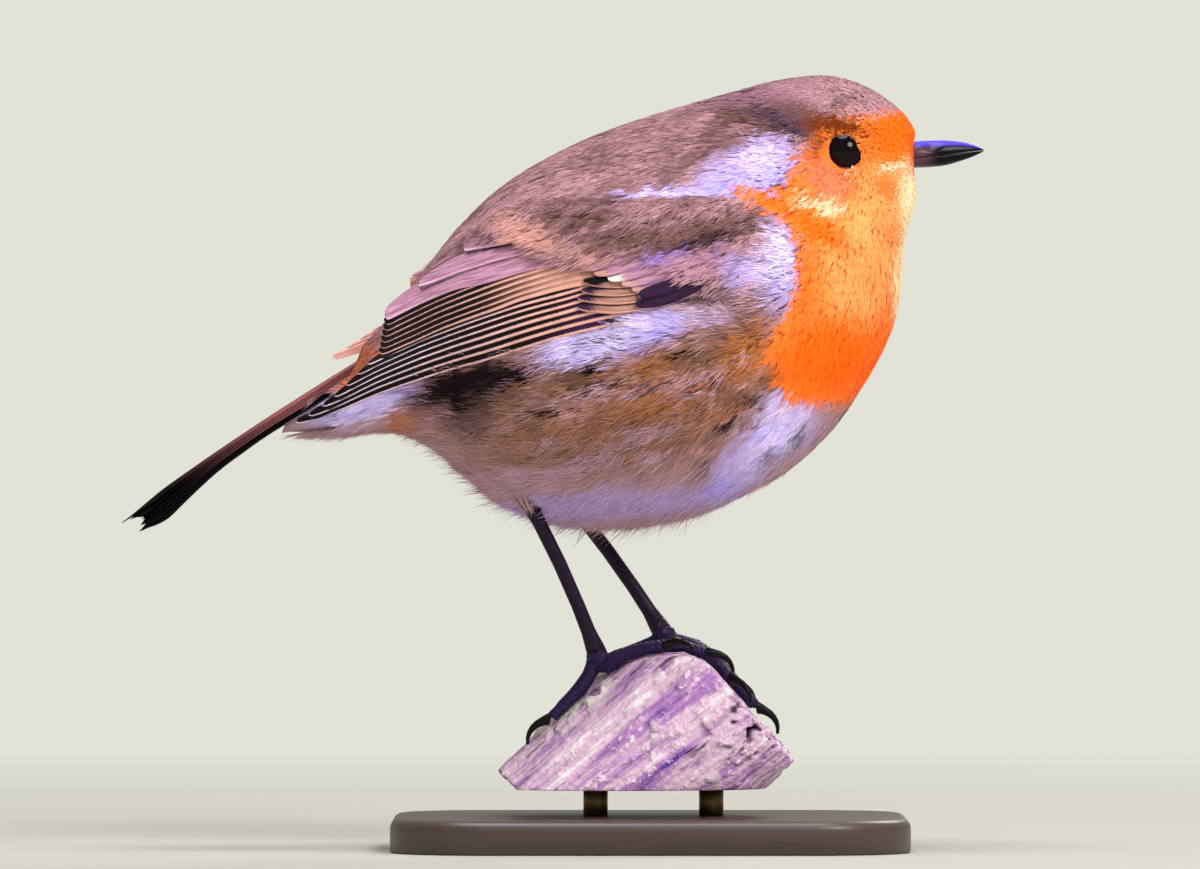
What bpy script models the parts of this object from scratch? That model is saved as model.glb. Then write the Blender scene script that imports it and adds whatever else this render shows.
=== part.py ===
"""A life-size European robin, standing on a short cut branch on a plain display stand.

The bird faces +X and its right side faces -Y. The origin is the centre of the base's underside.
Every length below is in millimetres and becomes metres where a mesh is made. Heights of the bird and
of the branch are counted from the level of the crest that it stands on, STANCE above the floor.
"""

import math
from collections import namedtuple

import bmesh
import bpy
import numpy as np
from mathutils import Vector
from mathutils.bvhtree import BVHTree

MM = 0.001
GAP = 0.3  # the slit between two pieces that meet
STANCE = 29.0  # height of the branch's crest above the floor

# ---- body: planar rings from the back line to the belly line, plumage included ----

Ring = namedtuple("Ring", "back belly half_width fullness")
# fullness moves the widest place down the ring (negative) or up it (positive)
BODY = {
    "bill_root": Ring((39.2, 76.2), (38.5, 70.7), 2.4, 0.0),
    "forehead": Ring((37.0, 79.3), (39.1, 67.6), 4.4, 0.0),
    "crown_front": Ring((32.4, 82.7), (38.2, 64.2), 6.2, 0.0),
    "eye": Ring((26.5, 84.8), (37.1, 59.8), 7.8, -0.04),
    "ear": Ring((19.8, 84.6), (36.8, 54.2), 9.7, -0.12),
    "nape": Ring((12.4, 82.7), (35.8, 48.0), 13.6, -0.2),
    "shoulder": Ring((4.2, 80.4), (32.2, 40.4), 19.0, -0.14),
    "mantle": Ring((-4.4, 77.7), (25.5, 30.9), 22.8, -0.07),
    "back": Ring((-13.2, 74.1), (14.9, 22.8), 24.4, -0.04),
    "loin": Ring((-21.4, 69.1), (1.5, 18.3), 24.2, -0.02),
    "rump": Ring((-28.0, 62.8), (-11.8, 18.0), 21.8, 0.0),
    "flank_end": Ring((-32.6, 56.8), (-22.0, 21.6), 17.8, 0.0),
    "vent": Ring((-36.2, 51.8), (-29.4, 27.9), 12.8, 0.0),
    "tail_root": Ring((-39.6, 47.8), (-35.2, 31.6), 9.2, 0.0),
    "coverts": Ring((-45.0, 42.6), (-43.4, 31.8), 6.8, 0.0),
    "coverts_end": Ring((-50.6, 38.2), (-50.4, 31.6), 4.6, 0.0),
    "coverts_tip": Ring((-54.6, 34.2), (-54.6, 31.6), 1.6, 0.0),
}
RING_SIDES = 24
RINGS_PER_STATION = 3
HEAD_END, NECK_END, TRUNK_END = 4.7, 6.2, 11.7  # places along BODY, counted in rings

# ---- head ----
EYE_AT = (28.5, 73.4)
EYE_RADIUS = 3.6
EYE_HALF_SPACING = 5.0
ORBIT_RADIUS, ORBIT_FLOOR = 6.0, 7.1  # the hollow round each eye and how deep it goes
BillStation = namedtuple("BillStation", "x culmen gape keel")
BILL = (
    BillStation(39.7, 75.1, 72.75, 71.4),
    BillStation(42.4, 75.1, 73.05, 71.5),
    BillStation(45.2, 75.0, 73.3, 72.05),
    BillStation(47.3, 74.6, 73.5, 72.75),
    BillStation(48.5, 74.2, 73.65, 73.2),
    BillStation(49.1, 74.0, 73.75, 73.35),
)
BILL_HALF_WIDTH, BILL_TIP_HALF_WIDTH = 2.43, 0.28
LOWER_BILL_SHARE = 0.92  # the lower mandible's width over the upper one's
BILL_SLIT = 0.14
BILL_LEAST = 0.35  # the least height of a mandible, at its tip
BILL_RINGS, BILL_SIDES = 10, 9

# ---- legs and feet ----
ANKLE_RIGHT, ANKLE_LEFT = (-18.6, -9.0, 23.6), (-13.8, 9.0, 24.4)
HEEL_RIGHT, HEEL_LEFT = (-7.7, -4.2, -0.4), (1.9, 4.6, 2.9)
SHANK_DEPTH, SHANK_WIDTH = 1.05, 0.8  # half sizes, fore-aft and across
SHANK_BOW = (0.5, 0.0, 0.2)
ANKLE_SWELL, HEEL_SWELL, SWELL_LENGTH = 0.32, 0.45, 0.1  # shares of the depth and of the length
SHANK_SHARES = (0.0, 0.08, 0.2, 0.45, 0.7, 0.86, 0.95, 1.0)
SHANK_SIDES = 12
TOE_ROOT, TOE_END = 1.15, 0.82  # radii
TOE_SIDES, TOE_JOINTS = 7, 7
TOE_PADS, PAD_SWELL = 3, 0.07
TOE_DROP = (0.35, 2.6)  # how soon a toe comes down from the heel's height to the bark
HEEL_RADIUS, HEEL_DROP = 1.8, 0.2
CLAW_ROOT, CLAW_TIP = 0.78, 0.26
CLAW_RADIUS, CLAW_TURN = 3.0, math.radians(100)
CLAW_LIFTS = (0.45, 1.5)  # how far above the toe's line a claw may start, in radians
CLAW_RINGS, CLAW_SIDES, CLAW_FLATTEN = 7, 6, 0.8

# ---- branch and stand ----
BRANCH_RADIUS = 14.5
BRANCH_RISE = math.radians(42)
CREST_X, CREST_Z = 4.0, -0.2
CREST_BACK_ARC, CREST_FRONT_ARC = 20.0, 6.5
END_FALL = math.radians(48)
BRANCH_BACK_X = -22.5
BRANCH_FRONT_REACH = 19.5  # from the crest to the front cut
BRANCH_BACK_UNDERCUT = 3.0
BRANCH_FLOOR = -20.0
BRANCH_HALF_LENGTH, BRANCH_HALF_WIDTH = 42.0, 20.0  # of the limb and its trim, before it is cut
BRANCH_RINGS, BRANCH_SIDES = 13, 28
ROUND_LUMP, LONG_LUMP = 0.7, 0.5  # how far lumps swell its underside
BASE_SIZE = (76.0, 56.0, 5.0)
BASE_CORNER = 14.0
BASE_EDGE = ((0.0, 0.0), (3.8, 0.0), (4.65, 0.35), (5.0, 1.2))  # height, and how far in
ROD_RADIUS = 1.8
ROD_XS = (-8.0, 9.0)
ROD_SINK = 3.2  # how far a rod goes into the base and into the branch

COLOURS = {  # name: (linear red, green, blue), roughness
    "crown": ((0.36, 0.21, 0.2), 0.8),
    "mantle": ((0.34, 0.2, 0.19), 0.8),
    "breast": ((0.9, 0.24, 0.04), 0.8),
    "wing": ((0.28, 0.15, 0.15), 0.65),
    "tail": ((0.12, 0.06, 0.06), 0.6),
    "bill": ((0.03, 0.02, 0.06), 0.3),
    "eye": ((0.004, 0.003, 0.004), 0.05),
    "leg": ((0.05, 0.02, 0.04), 0.5),
    "claw": ((0.02, 0.01, 0.015), 0.35),
    "branch": ((0.5, 0.36, 0.42), 0.9),
    "stand": ((0.09, 0.075, 0.065), 0.45),
}


def clear_scene():
    for thing in list(bpy.data.objects):
        bpy.data.objects.remove(thing)


def material(name):
    made = bpy.data.materials.get(name)
    if made:
        return made
    made = bpy.data.materials.new(name)
    made.use_nodes = True
    colour, roughness = COLOURS[name]
    shader = made.node_tree.nodes["Principled BSDF"]
    shader.inputs["Base Color"].default_value = (*colour, 1.0)
    shader.inputs["Roughness"].default_value = roughness
    shader.inputs["Metallic"].default_value = 0.0
    made.diffuse_color = (*colour, 1.0)
    return made


def add_object(name, points, faces, finish, smooth=True):
    """A mesh object from points in millimetres above the stance level."""
    mesh = bpy.data.meshes.new(name)
    placed = [(x * MM, y * MM, (z + STANCE) * MM) for x, y, z in points]
    mesh.from_pydata(placed, [], faces)
    shape = bmesh.new()
    shape.from_mesh(mesh)
    bmesh.ops.recalc_face_normals(shape, faces=shape.faces)
    shape.to_mesh(mesh)
    shape.free()
    mesh.materials.append(material(finish))
    if smooth:
        mesh.shade_smooth()
        mesh.set_sharp_from_angle(angle=math.radians(40))
    made = bpy.data.objects.new(name, mesh)
    bpy.context.scene.collection.objects.link(made)
    return made


def helper(made):
    """Marks an object as a cutter, which is no part of the model."""
    made.hide_render = True
    made.display_type = "WIRE"
    return made


def cut(made, *cutters, operation="DIFFERENCE"):
    for cutter in cutters:
        step = made.modifiers.new(operation.lower(), "BOOLEAN")
        step.operation = operation
        step.solver = "EXACT"
        step.object = cutter


def loft(name, rings, finish, smooth=True):
    """A closed body through rings of equal count, with flat ends."""
    count = len(rings[0])
    points = [tuple(p) for ring in rings for p in ring]
    faces = []
    for row in range(len(rings) - 1):
        for i in range(count):
            j = (i + 1) % count
            low, high = row * count, (row + 1) * count
            faces.append((low + i, low + j, high + j, high + i))
    faces.append(tuple(range(count)))
    last = (len(rings) - 1) * count
    faces.append(tuple(last + i for i in range(count)))
    return add_object(name, points, faces, finish, smooth)


def through(points, place):
    """A smooth curve through the points (Catmull-Rom), read at place, counted in points."""
    points = np.asarray(points, float)
    last = len(points) - 1
    first = min(int(place), last - 1)
    share = place - first
    ends = [max(first - 1, 0), first, first + 1, min(first + 2, last)]
    a, b, c, d = (points[i] for i in ends)
    return (
        b
        + 0.5 * share * (c - a)
        + share**2 * (a - 2.5 * b + 2 * c - 0.5 * d)
        + share**3 * (1.5 * (b - c) + 0.5 * (d - a))
    )


def spread(first, last, count):
    return [first + (last - first) * i / (count - 1) for i in range(count)]


# ---- body ----


def body_ring(place, shift=0.0):
    """The body's outline ring at a place along BODY, moved by shift towards the tail."""
    table = [(*r.back, *r.belly, r.half_width, r.fullness) for r in BODY.values()]
    back_x, back_z, belly_x, belly_z, half_width, fullness = through(table, place)
    middle = np.array([(back_x + belly_x) / 2, (back_z + belly_z) / 2])
    rise = np.array([back_x - belly_x, back_z - belly_z]) / 2
    tailward = np.array([-rise[1], rise[0]]) / np.linalg.norm(rise)
    middle = middle + tailward * shift
    ring = []
    for turn in spread(0, 2 * math.pi, RING_SIDES + 1)[:-1]:
        level = math.cos(turn)
        x, z = middle + rise * level
        y = half_width * math.sin(turn) * (1 + fullness * level)
        ring.append((x, y, z))
    return ring


def body_length(name, start, end, finish):
    """One length of the body, a thin cut short of its neighbours at both ends."""
    count = max(3, round((end - start) * RINGS_PER_STATION) + 1)
    places = spread(start, end, count)
    rings = [body_ring(place) for place in places]
    if start > 0:
        rings[0] = body_ring(start, GAP / 2)
    if end < len(BODY) - 1:
        rings[-1] = body_ring(end, -GAP / 2)
    return loft(name, rings, finish)


def side_finder():
    """A function that gives the body's half width at (x, z), or None off the body."""
    rings = [body_ring(place) for place in spread(0, len(BODY) - 1, 3 * len(BODY))]
    count = RING_SIDES
    points = [Vector(p) for ring in rings for p in ring]
    faces = []
    for row in range(len(rings) - 1):
        for i in range(count):
            j = (i + 1) % count
            low, high = row * count, (row + 1) * count
            faces.append((low + i, low + j, high + j, high + i))
    tree = BVHTree.FromPolygons(points, faces)

    def half_width(x, z):
        far_out = Vector((x, 100.0, z))
        hit, _, _, _ = tree.ray_cast(far_out, Vector((0, -1, 0)))
        return hit.y if hit and hit.y > 0 else None

    return half_width


def ball(name, centre, radius, finish, fineness=3):
    """A closed ball at centre, both in millimetres above the stance level."""
    shape = bmesh.new()
    bmesh.ops.create_icosphere(shape, subdivisions=fineness, radius=radius)
    points = [tuple(Vector(centre) + v.co) for v in shape.verts]
    faces = [tuple(v.index for v in face.verts) for face in shape.faces]
    shape.free()
    return add_object(name, points, faces, finish)


def build_eyes(head):
    x, z = EYE_AT
    for side, sign in (("right", -1), ("left", 1)):
        centre = (x, sign * EYE_HALF_SPACING, z)
        ball(f"eye_{side}", centre, EYE_RADIUS, "eye")
        socket = ball(f"socket_{side}", centre, EYE_RADIUS + GAP, "eye")
        beyond = (x, sign * (ORBIT_FLOOR + ORBIT_RADIUS), z)
        orbit = ball(f"orbit_{side}", beyond, ORBIT_RADIUS, "crown", 2)
        cut(head, helper(orbit), helper(socket))


def bill_ring(x, flat, arched, half_width):
    """A half-round ring of one mandible: flat along the gape, arched away from it."""
    ring = []
    for turn in spread(0, math.pi, BILL_SIDES):
        arch = math.sin(turn) ** 0.8
        ring.append((x, half_width * math.cos(turn), flat + (arched - flat) * arch))
    return ring


def build_bill():
    upper, lower = [], []
    slit = BILL_SLIT / 2
    for share in spread(0, 1, BILL_RINGS):
        # more rings towards the tip, where the outline turns
        along = 1 - (1 - share) ** 1.3
        x, culmen, gape, keel = through(BILL, along * (len(BILL) - 1))
        slimmer = (1 - along**1.15) ** 0.9
        half_width = BILL_TIP_HALF_WIDTH + (BILL_HALF_WIDTH - BILL_TIP_HALF_WIDTH) * slimmer
        culmen, keel = max(culmen, gape + BILL_LEAST), min(keel, gape - BILL_LEAST)
        upper.append(bill_ring(x, gape + slit, culmen, half_width))
        lower.append(bill_ring(x, gape - slit, keel, half_width * LOWER_BILL_SHARE))
    loft("bill_upper", upper, "bill")
    loft("bill_lower", lower[:-1], "bill")


# ---- wings ----
# Each wing is three plates. An edge is a smooth line through (x, y, z) points, where y is how far out
# it stands at the least; the plate lies on the body wherever the body is wider than that.

PLATE_STAND = 1.1
PLATE_BULGE = 0.5
BED_MARGIN = 0.3  # the beds reach this far past the gap, so that they leave no thin rib between plates
WING_PLATES = {
    "coverts": {
        "upper": (
            (19.0, 15.5, 64.6),
            (12.6, 17.5, 66.6),
            (4.0, 17.0, 67.4),
            (-5.0, 14.5, 66.2),
            (-14.5, 11.0, 62.6),
        ),
        "lower": (
            (19.4, 17.5, 56.0),
            (12.0, 20.5, 52.6),
            (6.0, 22.5, 50.6),
            (1.6, 23.6, 49.5),
            (-1.2, 24.0, 49.2),
        ),
        "thickness": (2.4, 1.9),
    },
    "secondaries": {
        "upper": (
            (-14.9, 10.9, 62.3),
            (-22.5, 8.6, 61.8),
            (-30.0, 7.4, 58.2),
            (-36.4, 6.6, 52.0),
            (-40.6, 6.2, 46.4),
        ),
        "lower": (
            (-8.3, 20.0, 55.3),
            (-16.0, 20.8, 51.4),
            (-25.0, 18.0, 48.0),
            (-33.6, 13.6, 45.2),
            (-41.2, 9.2, 43.6),
        ),
        "thickness": (1.9, 1.3),
    },
    "primaries": {
        "upper": (
            (-8.0, 20.6, 54.6),
            (-16.2, 21.2, 51.0),
            (-25.2, 18.4, 47.6),
            (-34.0, 14.2, 44.8),
            (-43.0, 10.2, 40.6),
            (-50.6, 8.4, 34.6),
        ),
        "lower": (
            (-3.0, 23.4, 48.6),
            (-13.2, 23.0, 45.3),
            (-25.0, 19.0, 41.4),
            (-34.5, 14.6, 38.9),
            (-43.8, 10.6, 36.3),
            (-50.9, 8.2, 33.6),
        ),
        "thickness": (1.8, 1.0),
    },
}
PLATE_GRIDS = {"coverts": (8, 5), "secondaries": (9, 4), "primaries": (11, 3)}
RAISED_FROM, RAISED_OVER = -15.0, 36.0  # where the left wing starts to lift, and over what length
RAISED_UP, RAISED_FORWARD = 9.5, 5.0  # how far its end is moved


def raised(points):
    """The left wing is carried higher than the right: its feathers' ends are moved up and in."""
    moved = []
    for x, y, z in points:
        share = max(0.0, (RAISED_FROM - x) / RAISED_OVER)
        moved.append((x + RAISED_FORWARD * share, y, z + RAISED_UP * share**1.5))
    return moved


def plate_grid(plate, half_width_at, rows, columns, change=list):
    """The plate's outer face as rows of points, on the left (+Y) side."""
    grid = np.zeros((rows, columns, 3))
    on_body = np.full((rows, columns), -np.inf)
    upper, lower = change(plate["upper"]), change(plate["lower"])
    for row, share in enumerate(spread(0, 1, rows)):
        top = through(upper, share * (len(upper) - 1))
        low = through(lower, share * (len(lower) - 1))
        for column, down in enumerate(spread(0, 1, columns)):
            x, y, z = top + (low - top) * down
            bulge = PLATE_BULGE * math.sin(math.pi * down)
            grid[row, column] = (x, y + bulge, z)
            half_width = half_width_at(x, z)
            if half_width is not None:
                on_body[row, column] = half_width + PLATE_STAND
    grid[:, :, 1] = np.maximum(grid[:, :, 1], on_body)
    grid[:, :, 1] = np.maximum(evened(grid[:, :, 1]), on_body)
    return grid


def evened(y, passes=2):
    """Evens out a grid of values, so that the step from body to free feather is soft."""
    for _ in range(passes):
        mean = y.copy()
        mean[1:-1, :] = (y[:-2, :] + y[2:, :] + 2 * y[1:-1, :]) / 4
        mean[:, 1:-1] = (mean[:, :-2] + mean[:, 2:] + 2 * mean[:, 1:-1]) / 4
        y = mean
    return y


def widen(face, margin):
    """Moves a face's four edges outwards in its own plane."""
    down = face[:, -1] - face[:, 0]
    down = down / np.linalg.norm(down, axis=1)[:, None] * margin
    face[:, 0] -= down
    face[:, -1] += down
    for edge, inward in ((0, 1), (-1, -2)):
        along = face[edge] - face[inward]
        face[edge] += along / np.linalg.norm(along, axis=1)[:, None] * margin


def plate_solid(name, grid, thickness, sign, finish, grow=0.0):
    """A closed plate: the outer face, the same face moved in by the thickness, and its rim."""
    rows, columns, _ = grid.shape
    root, end = thickness
    outer, inner = grid.copy(), grid.copy()
    outer[:, :, 1] += grow
    for row in range(rows):
        depth = root + (end - root) * row / (rows - 1)
        inner[row, :, 1] -= depth + grow
    if grow:
        for face in (outer, inner):
            widen(face, grow + BED_MARGIN)
    points = np.concatenate([outer.reshape(-1, 3), inner.reshape(-1, 3)])
    points[:, 1] *= sign
    faces = []
    size = rows * columns

    def at(row, column, layer):
        return layer * size + row * columns + column

    for row in range(rows - 1):
        for column in range(columns - 1):
            for layer in (0, 1):
                faces.append(
                    (
                        at(row, column, layer),
                        at(row + 1, column, layer),
                        at(row + 1, column + 1, layer),
                        at(row, column + 1, layer),
                    )
                )
    rim = [(row, 0) for row in range(rows)]
    rim += [(rows - 1, column) for column in range(1, columns)]
    rim += [(row, columns - 1) for row in range(rows - 2, -1, -1)]
    rim += [(0, column) for column in range(columns - 2, 0, -1)]
    for here, there in zip(rim, rim[1:] + rim[:1]):
        faces.append((at(*here, 0), at(*there, 0), at(*there, 1), at(*here, 1)))
    return add_object(name, [tuple(p) for p in points], faces, finish)


def build_wings(half_width_at, flesh):
    for side, sign in (("right", -1), ("left", 1)):
        beds = []
        for part, plate in WING_PLATES.items():
            change = raised if side == "left" else list
            grid = plate_grid(plate, half_width_at, *PLATE_GRIDS[part], change)
            name = f"wing_{side}_{part}"
            made = plate_solid(name, grid, plate["thickness"], sign, "wing")
            cut(made, *beds)
            bed = plate_solid(f"{name}_bed", grid, plate["thickness"], sign, "wing", GAP)
            beds.append(helper(bed))
        for piece in flesh:
            cut(piece, *beds)


# ---- tail ----

TAIL_ROOT, TAIL_TIP = (-55.2, 35.3), (-78.2, 18.7)
TAIL_HALF_WIDTHS = (6.2, 7.6)
TAIL_ROOF = 1.9  # how far the outer feathers hang below the middle pair
TAIL_THICKNESS = 1.5
TAIL_NOTCH, TAIL_CORNER = 2.2, 1.3  # how far the middle and the corners fall short of the end
TAIL_ARCH = 0.5
TAIL_TAPER = 0.35  # the share of its thickness that it loses by its end
TAIL_BED_LENGTH = 15.0
TAIL_GRID = (13, 9)


def build_tail(flesh):
    """The closed fan of tail feathers as one roof-shaped blade, bedded under the tail coverts."""
    start, end = np.array(TAIL_ROOT), np.array(TAIL_TIP)
    along = (end - start) / np.linalg.norm(end - start)
    over = np.array([-along[1], along[0]]) * -1
    start = start - along * TAIL_BED_LENGTH
    rows, columns = TAIL_GRID
    length = np.linalg.norm(end - start)
    for name, grow in (("tail", 0.0), ("tail_bed", GAP)):
        top, bottom = [], []
        for share in spread(0, 1, rows):
            narrow, wide = TAIL_HALF_WIDTHS
            half_width = narrow + (wide - narrow) * share + grow
            sag = TAIL_ARCH * math.sin(math.pi * share)
            for across in spread(-1, 1, columns):
                notch = TAIL_NOTCH * (1 - abs(across)) ** 1.5 * share**8
                rounding = TAIL_CORNER * abs(across) ** 6 * share**8
                reach = length * share - notch - rounding
                reach += grow * (2 * share - 1)
                roof = TAIL_ROOF * abs(across) ** 1.6
                x, z = start + along * reach + over * (sag - roof)
                y = half_width * across
                thick = TAIL_THICKNESS * (1 - TAIL_TAPER * share) + grow
                top.append((x + over[0] * grow, y, z + over[1] * grow))
                bottom.append((x - over[0] * thick, y, z - over[1] * thick))
        grid = np.array([top, bottom]).reshape(2, rows, columns, 3)
        made = slab(name, grid[0], grid[1], "tail")
        if grow:
            for piece in flesh:
                cut(piece, helper(made))


def slab(name, top, bottom, finish):
    """A closed slab between two grids of points."""
    rows, columns, _ = top.shape
    points = np.concatenate([top.reshape(-1, 3), bottom.reshape(-1, 3)])
    size = rows * columns
    faces = []
    for row in range(rows - 1):
        for column in range(columns - 1):
            a = row * columns + column
            quad = (a, a + 1, a + columns + 1, a + columns)
            faces.append(quad)
            faces.append(tuple(size + i for i in reversed(quad)))
    for row in range(rows - 1):
        for column in (0, columns - 1):
            a = row * columns + column
            faces.append((a, a + columns, size + a + columns, size + a))
    for column in range(columns - 1):
        for row in (0, rows - 1):
            a = row * columns + column
            faces.append((a, a + 1, size + a + 1, size + a))
    return add_object(name, [tuple(p) for p in points], faces, finish)


# ---- branch and stand ----


def crest_height(x):
    """The branch's outline in side view: a rising line, a long arc, a short arc, a falling line."""
    back, front = CREST_BACK_ARC, CREST_FRONT_ARC
    if x < CREST_X - back * math.sin(BRANCH_RISE):
        edge_x = CREST_X - back * math.sin(BRANCH_RISE)
        edge_z = CREST_Z - back * (1 - math.cos(BRANCH_RISE))
        return edge_z + (x - edge_x) * math.tan(BRANCH_RISE)
    if x < CREST_X:
        return CREST_Z - back + math.sqrt(back**2 - (CREST_X - x) ** 2)
    if x < CREST_X + front * math.sin(END_FALL):
        return CREST_Z - front + math.sqrt(front**2 - (x - CREST_X) ** 2)
    edge_x = CREST_X + front * math.sin(END_FALL)
    edge_z = CREST_Z - front * (1 - math.cos(END_FALL))
    return edge_z - (x - edge_x) * math.tan(END_FALL)


def bark_height(x, y):
    """The height of the branch's upper side over the point (x, y)."""
    edge_x = CREST_X - CREST_BACK_ARC * math.sin(BRANCH_RISE)
    ridge = crest_height(edge_x) + (x - edge_x) * math.tan(BRANCH_RISE)
    inside = max(BRANCH_RADIUS**2 - y**2, 0.0)
    fall = (BRANCH_RADIUS - math.sqrt(inside)) / math.cos(BRANCH_RISE)
    return min(crest_height(x), ridge - fall)


def bark_normal(x, y):
    step = 0.4
    slope_x = (bark_height(x + step, y) - bark_height(x - step, y)) / (2 * step)
    slope_y = (bark_height(x, y + step) - bark_height(x, y - step)) / (2 * step)
    return Vector((-slope_x, -slope_y, 1.0)).normalized()


def build_branch():
    """A round limb rising forwards, trimmed to its side outline and sawn level underneath."""
    edge_x = CREST_X - CREST_BACK_ARC * math.sin(BRANCH_RISE)
    along = Vector((math.cos(BRANCH_RISE), 0, math.sin(BRANCH_RISE)))
    over = Vector((-math.sin(BRANCH_RISE), 0, math.cos(BRANCH_RISE)))
    middle = Vector((edge_x, 0, crest_height(edge_x))) - over * BRANCH_RADIUS
    rings = []
    for reach in spread(-BRANCH_HALF_LENGTH, BRANCH_HALF_LENGTH, BRANCH_RINGS):
        ring = []
        for turn in spread(0, 2 * math.pi, BRANCH_SIDES + 1)[:-1]:
            low = max(0.0, -math.cos(turn))
            lump = ROUND_LUMP * math.sin(3 * turn + reach / 7) + LONG_LUMP * math.sin(reach / 4)
            radius = BRANCH_RADIUS + lump * low
            at = middle + along * reach + over * (radius * math.cos(turn))
            ring.append((at.x, radius * math.sin(turn), at.z))
        rings.append(ring)
    branch = loft("perch_branch", rings, "branch")
    outline = [(x, crest_height(x)) for x in spread(BRANCH_BACK_X, CREST_X, 12)]
    front_end = CREST_X + CREST_FRONT_ARC * math.sin(END_FALL)
    outline += [(x, crest_height(x)) for x in spread(CREST_X, front_end, 5)[1:]]
    far_x = CREST_X + BRANCH_FRONT_REACH
    outline += [(far_x, crest_height(far_x)), (far_x, BRANCH_FLOOR)]
    outline += [(BRANCH_BACK_X + BRANCH_BACK_UNDERCUT, BRANCH_FLOOR)]
    width = BRANCH_HALF_WIDTH
    points = [(x, -width, z) for x, z in outline] + [(x, width, z) for x, z in outline]
    count = len(outline)
    faces = [tuple(range(count)), tuple(count + i for i in range(count))]
    faces += [(i, (i + 1) % count, count + (i + 1) % count, count + i) for i in range(count)]
    trim = add_object("branch_trim", points, faces, "branch")
    cut(branch, helper(trim), operation="INTERSECT")
    return branch


def upright(name, x, low, high, radius, finish):
    rings = []
    for z in (low, high):
        turns = spread(0, 2 * math.pi, 17)[:-1]
        rings.append([(x + radius * math.cos(t), radius * math.sin(t), z) for t in turns])
    return loft(name, rings, finish)


def build_stand(branch):
    length, width, height = BASE_SIZE
    outline = []
    for corner, (sx, sy) in enumerate(((1, 1), (-1, 1), (-1, -1), (1, -1))):
        centre_x = sx * (length / 2 - BASE_CORNER)
        centre_y = sy * (width / 2 - BASE_CORNER)
        for turn in spread(0, math.pi / 2, 6):
            angle = turn + corner * math.pi / 2
            outline.append(
                (centre_x + BASE_CORNER * math.cos(angle), centre_y + BASE_CORNER * math.sin(angle))
            )
    rings = []
    for level, inset in BASE_EDGE:
        scale_x, scale_y = 1 - 2 * inset / length, 1 - 2 * inset / width
        rings.append([(x * scale_x, y * scale_y, level - STANCE) for x, y in outline])
    base = loft("stand_base", rings, "stand")
    top = height - STANCE
    for index, x in enumerate(ROD_XS, start=1):
        low, high = top - ROD_SINK, BRANCH_FLOOR + ROD_SINK
        upright(f"stand_rod_{index}", x, low, high, ROD_RADIUS, "stand")
        hole = upright(f"rod_hole_{index}", x, low - GAP, high + GAP, ROD_RADIUS + GAP, "stand")
        cut(base, helper(hole))
        cut(branch, hole)


# ---- legs ----


def tube(name, path, radii, finish, sides, flatten=1.0):
    """A closed tube along path. flatten narrows it across, along the Y axis."""
    path = [Vector(p) for p in path]
    rings = []
    for i, point in enumerate(path):
        ahead = path[min(i + 1, len(path) - 1)] - path[max(i - 1, 0)]
        ahead.normalize()
        across = Vector((0, 1, 0))
        up = ahead.cross(across).normalized()
        across = up.cross(ahead).normalized()
        ring = []
        for turn in spread(0, 2 * math.pi, sides + 1)[:-1]:
            out = up * math.cos(turn) + across * math.sin(turn) * flatten
            ring.append(tuple(point + out * radii[i]))
        rings.append(ring)
    return loft(name, rings, finish)


def shank_path(ankle, heel):
    """The shank's slightly bowed line and its radii, which swell at both joints."""
    ankle, heel = Vector(ankle), Vector(heel)
    path, radii = [], []
    for share in SHANK_SHARES:
        path.append(ankle.lerp(heel, share) + Vector(SHANK_BOW) * math.sin(math.pi * share))
        at_ankle = ANKLE_SWELL * math.exp(-((share / SWELL_LENGTH) ** 2))
        at_heel = HEEL_SWELL * math.exp(-(((share - 1) / SWELL_LENGTH) ** 2))
        radii.append(SHANK_DEPTH * (1 + at_ankle + at_heel))
    return path, radii


def toe_path(heel, heading, length):
    """Points along a toe that leaves the heel and follows the bark, heading in radians from +X."""
    heel = Vector(heel)
    path = [heel]
    x, y = heel.x, heel.y
    step = length / TOE_JOINTS
    for i in range(TOE_JOINTS):
        reach = 0.5 * math.cos(heading)
        slope = bark_height(x + reach, y) - bark_height(x - reach, y)
        run = step / math.hypot(1.0, slope)
        x += run * math.cos(heading)
        y += run * math.sin(heading)
        share = (i + 1) / TOE_JOINTS
        radius = TOE_ROOT + (TOE_END - TOE_ROOT) * share
        lift = radius + GAP + 0.05
        ground = Vector((x, y, bark_height(x, y))) + bark_normal(x, y) * lift
        path.append(heel.lerp(ground, min(1.0, TOE_DROP[0] + share * TOE_DROP[1])))
    return path


def toe_radii(count):
    """Radii that swell at the joints' pads."""
    radii = []
    for i in range(count):
        share = i / (count - 1)
        radius = TOE_ROOT + (TOE_END - TOE_ROOT) * share
        radii.append(radius * (1.0 + PAD_SWELL * math.cos(2 * math.pi * TOE_PADS * share)))
    return radii


def claw_arc(toe, root_radius, lift):
    """An arc that leaves the toe at a lift above its end's line, then hooks down."""
    ahead = (toe[-1] - toe[-3]).normalized()
    side = Vector((0, 0, 1)).cross(ahead).normalized()
    up = ahead.cross(side).normalized()
    if up.z < 0:
        up = -up
    forward = ahead * math.cos(lift) + up * math.sin(lift)
    outward = up * math.cos(lift) - ahead * math.sin(lift)
    start = toe[-1] + ahead * (GAP + root_radius * math.sin(lift))
    centre = start - outward * CLAW_RADIUS
    path = []
    for turn in spread(0, CLAW_TURN, CLAW_RINGS):
        path.append(centre + (outward * math.cos(turn) + forward * math.sin(turn)) * CLAW_RADIUS)
    return path


def is_clear(path, radii):
    """Whether a tube along path stays off the bark by the gap."""
    for point, radius in zip(path, radii):
        height = (point.z - bark_height(point.x, point.y)) * bark_normal(point.x, point.y).z
        if height < radius + GAP:
            return False
    return True


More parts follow.
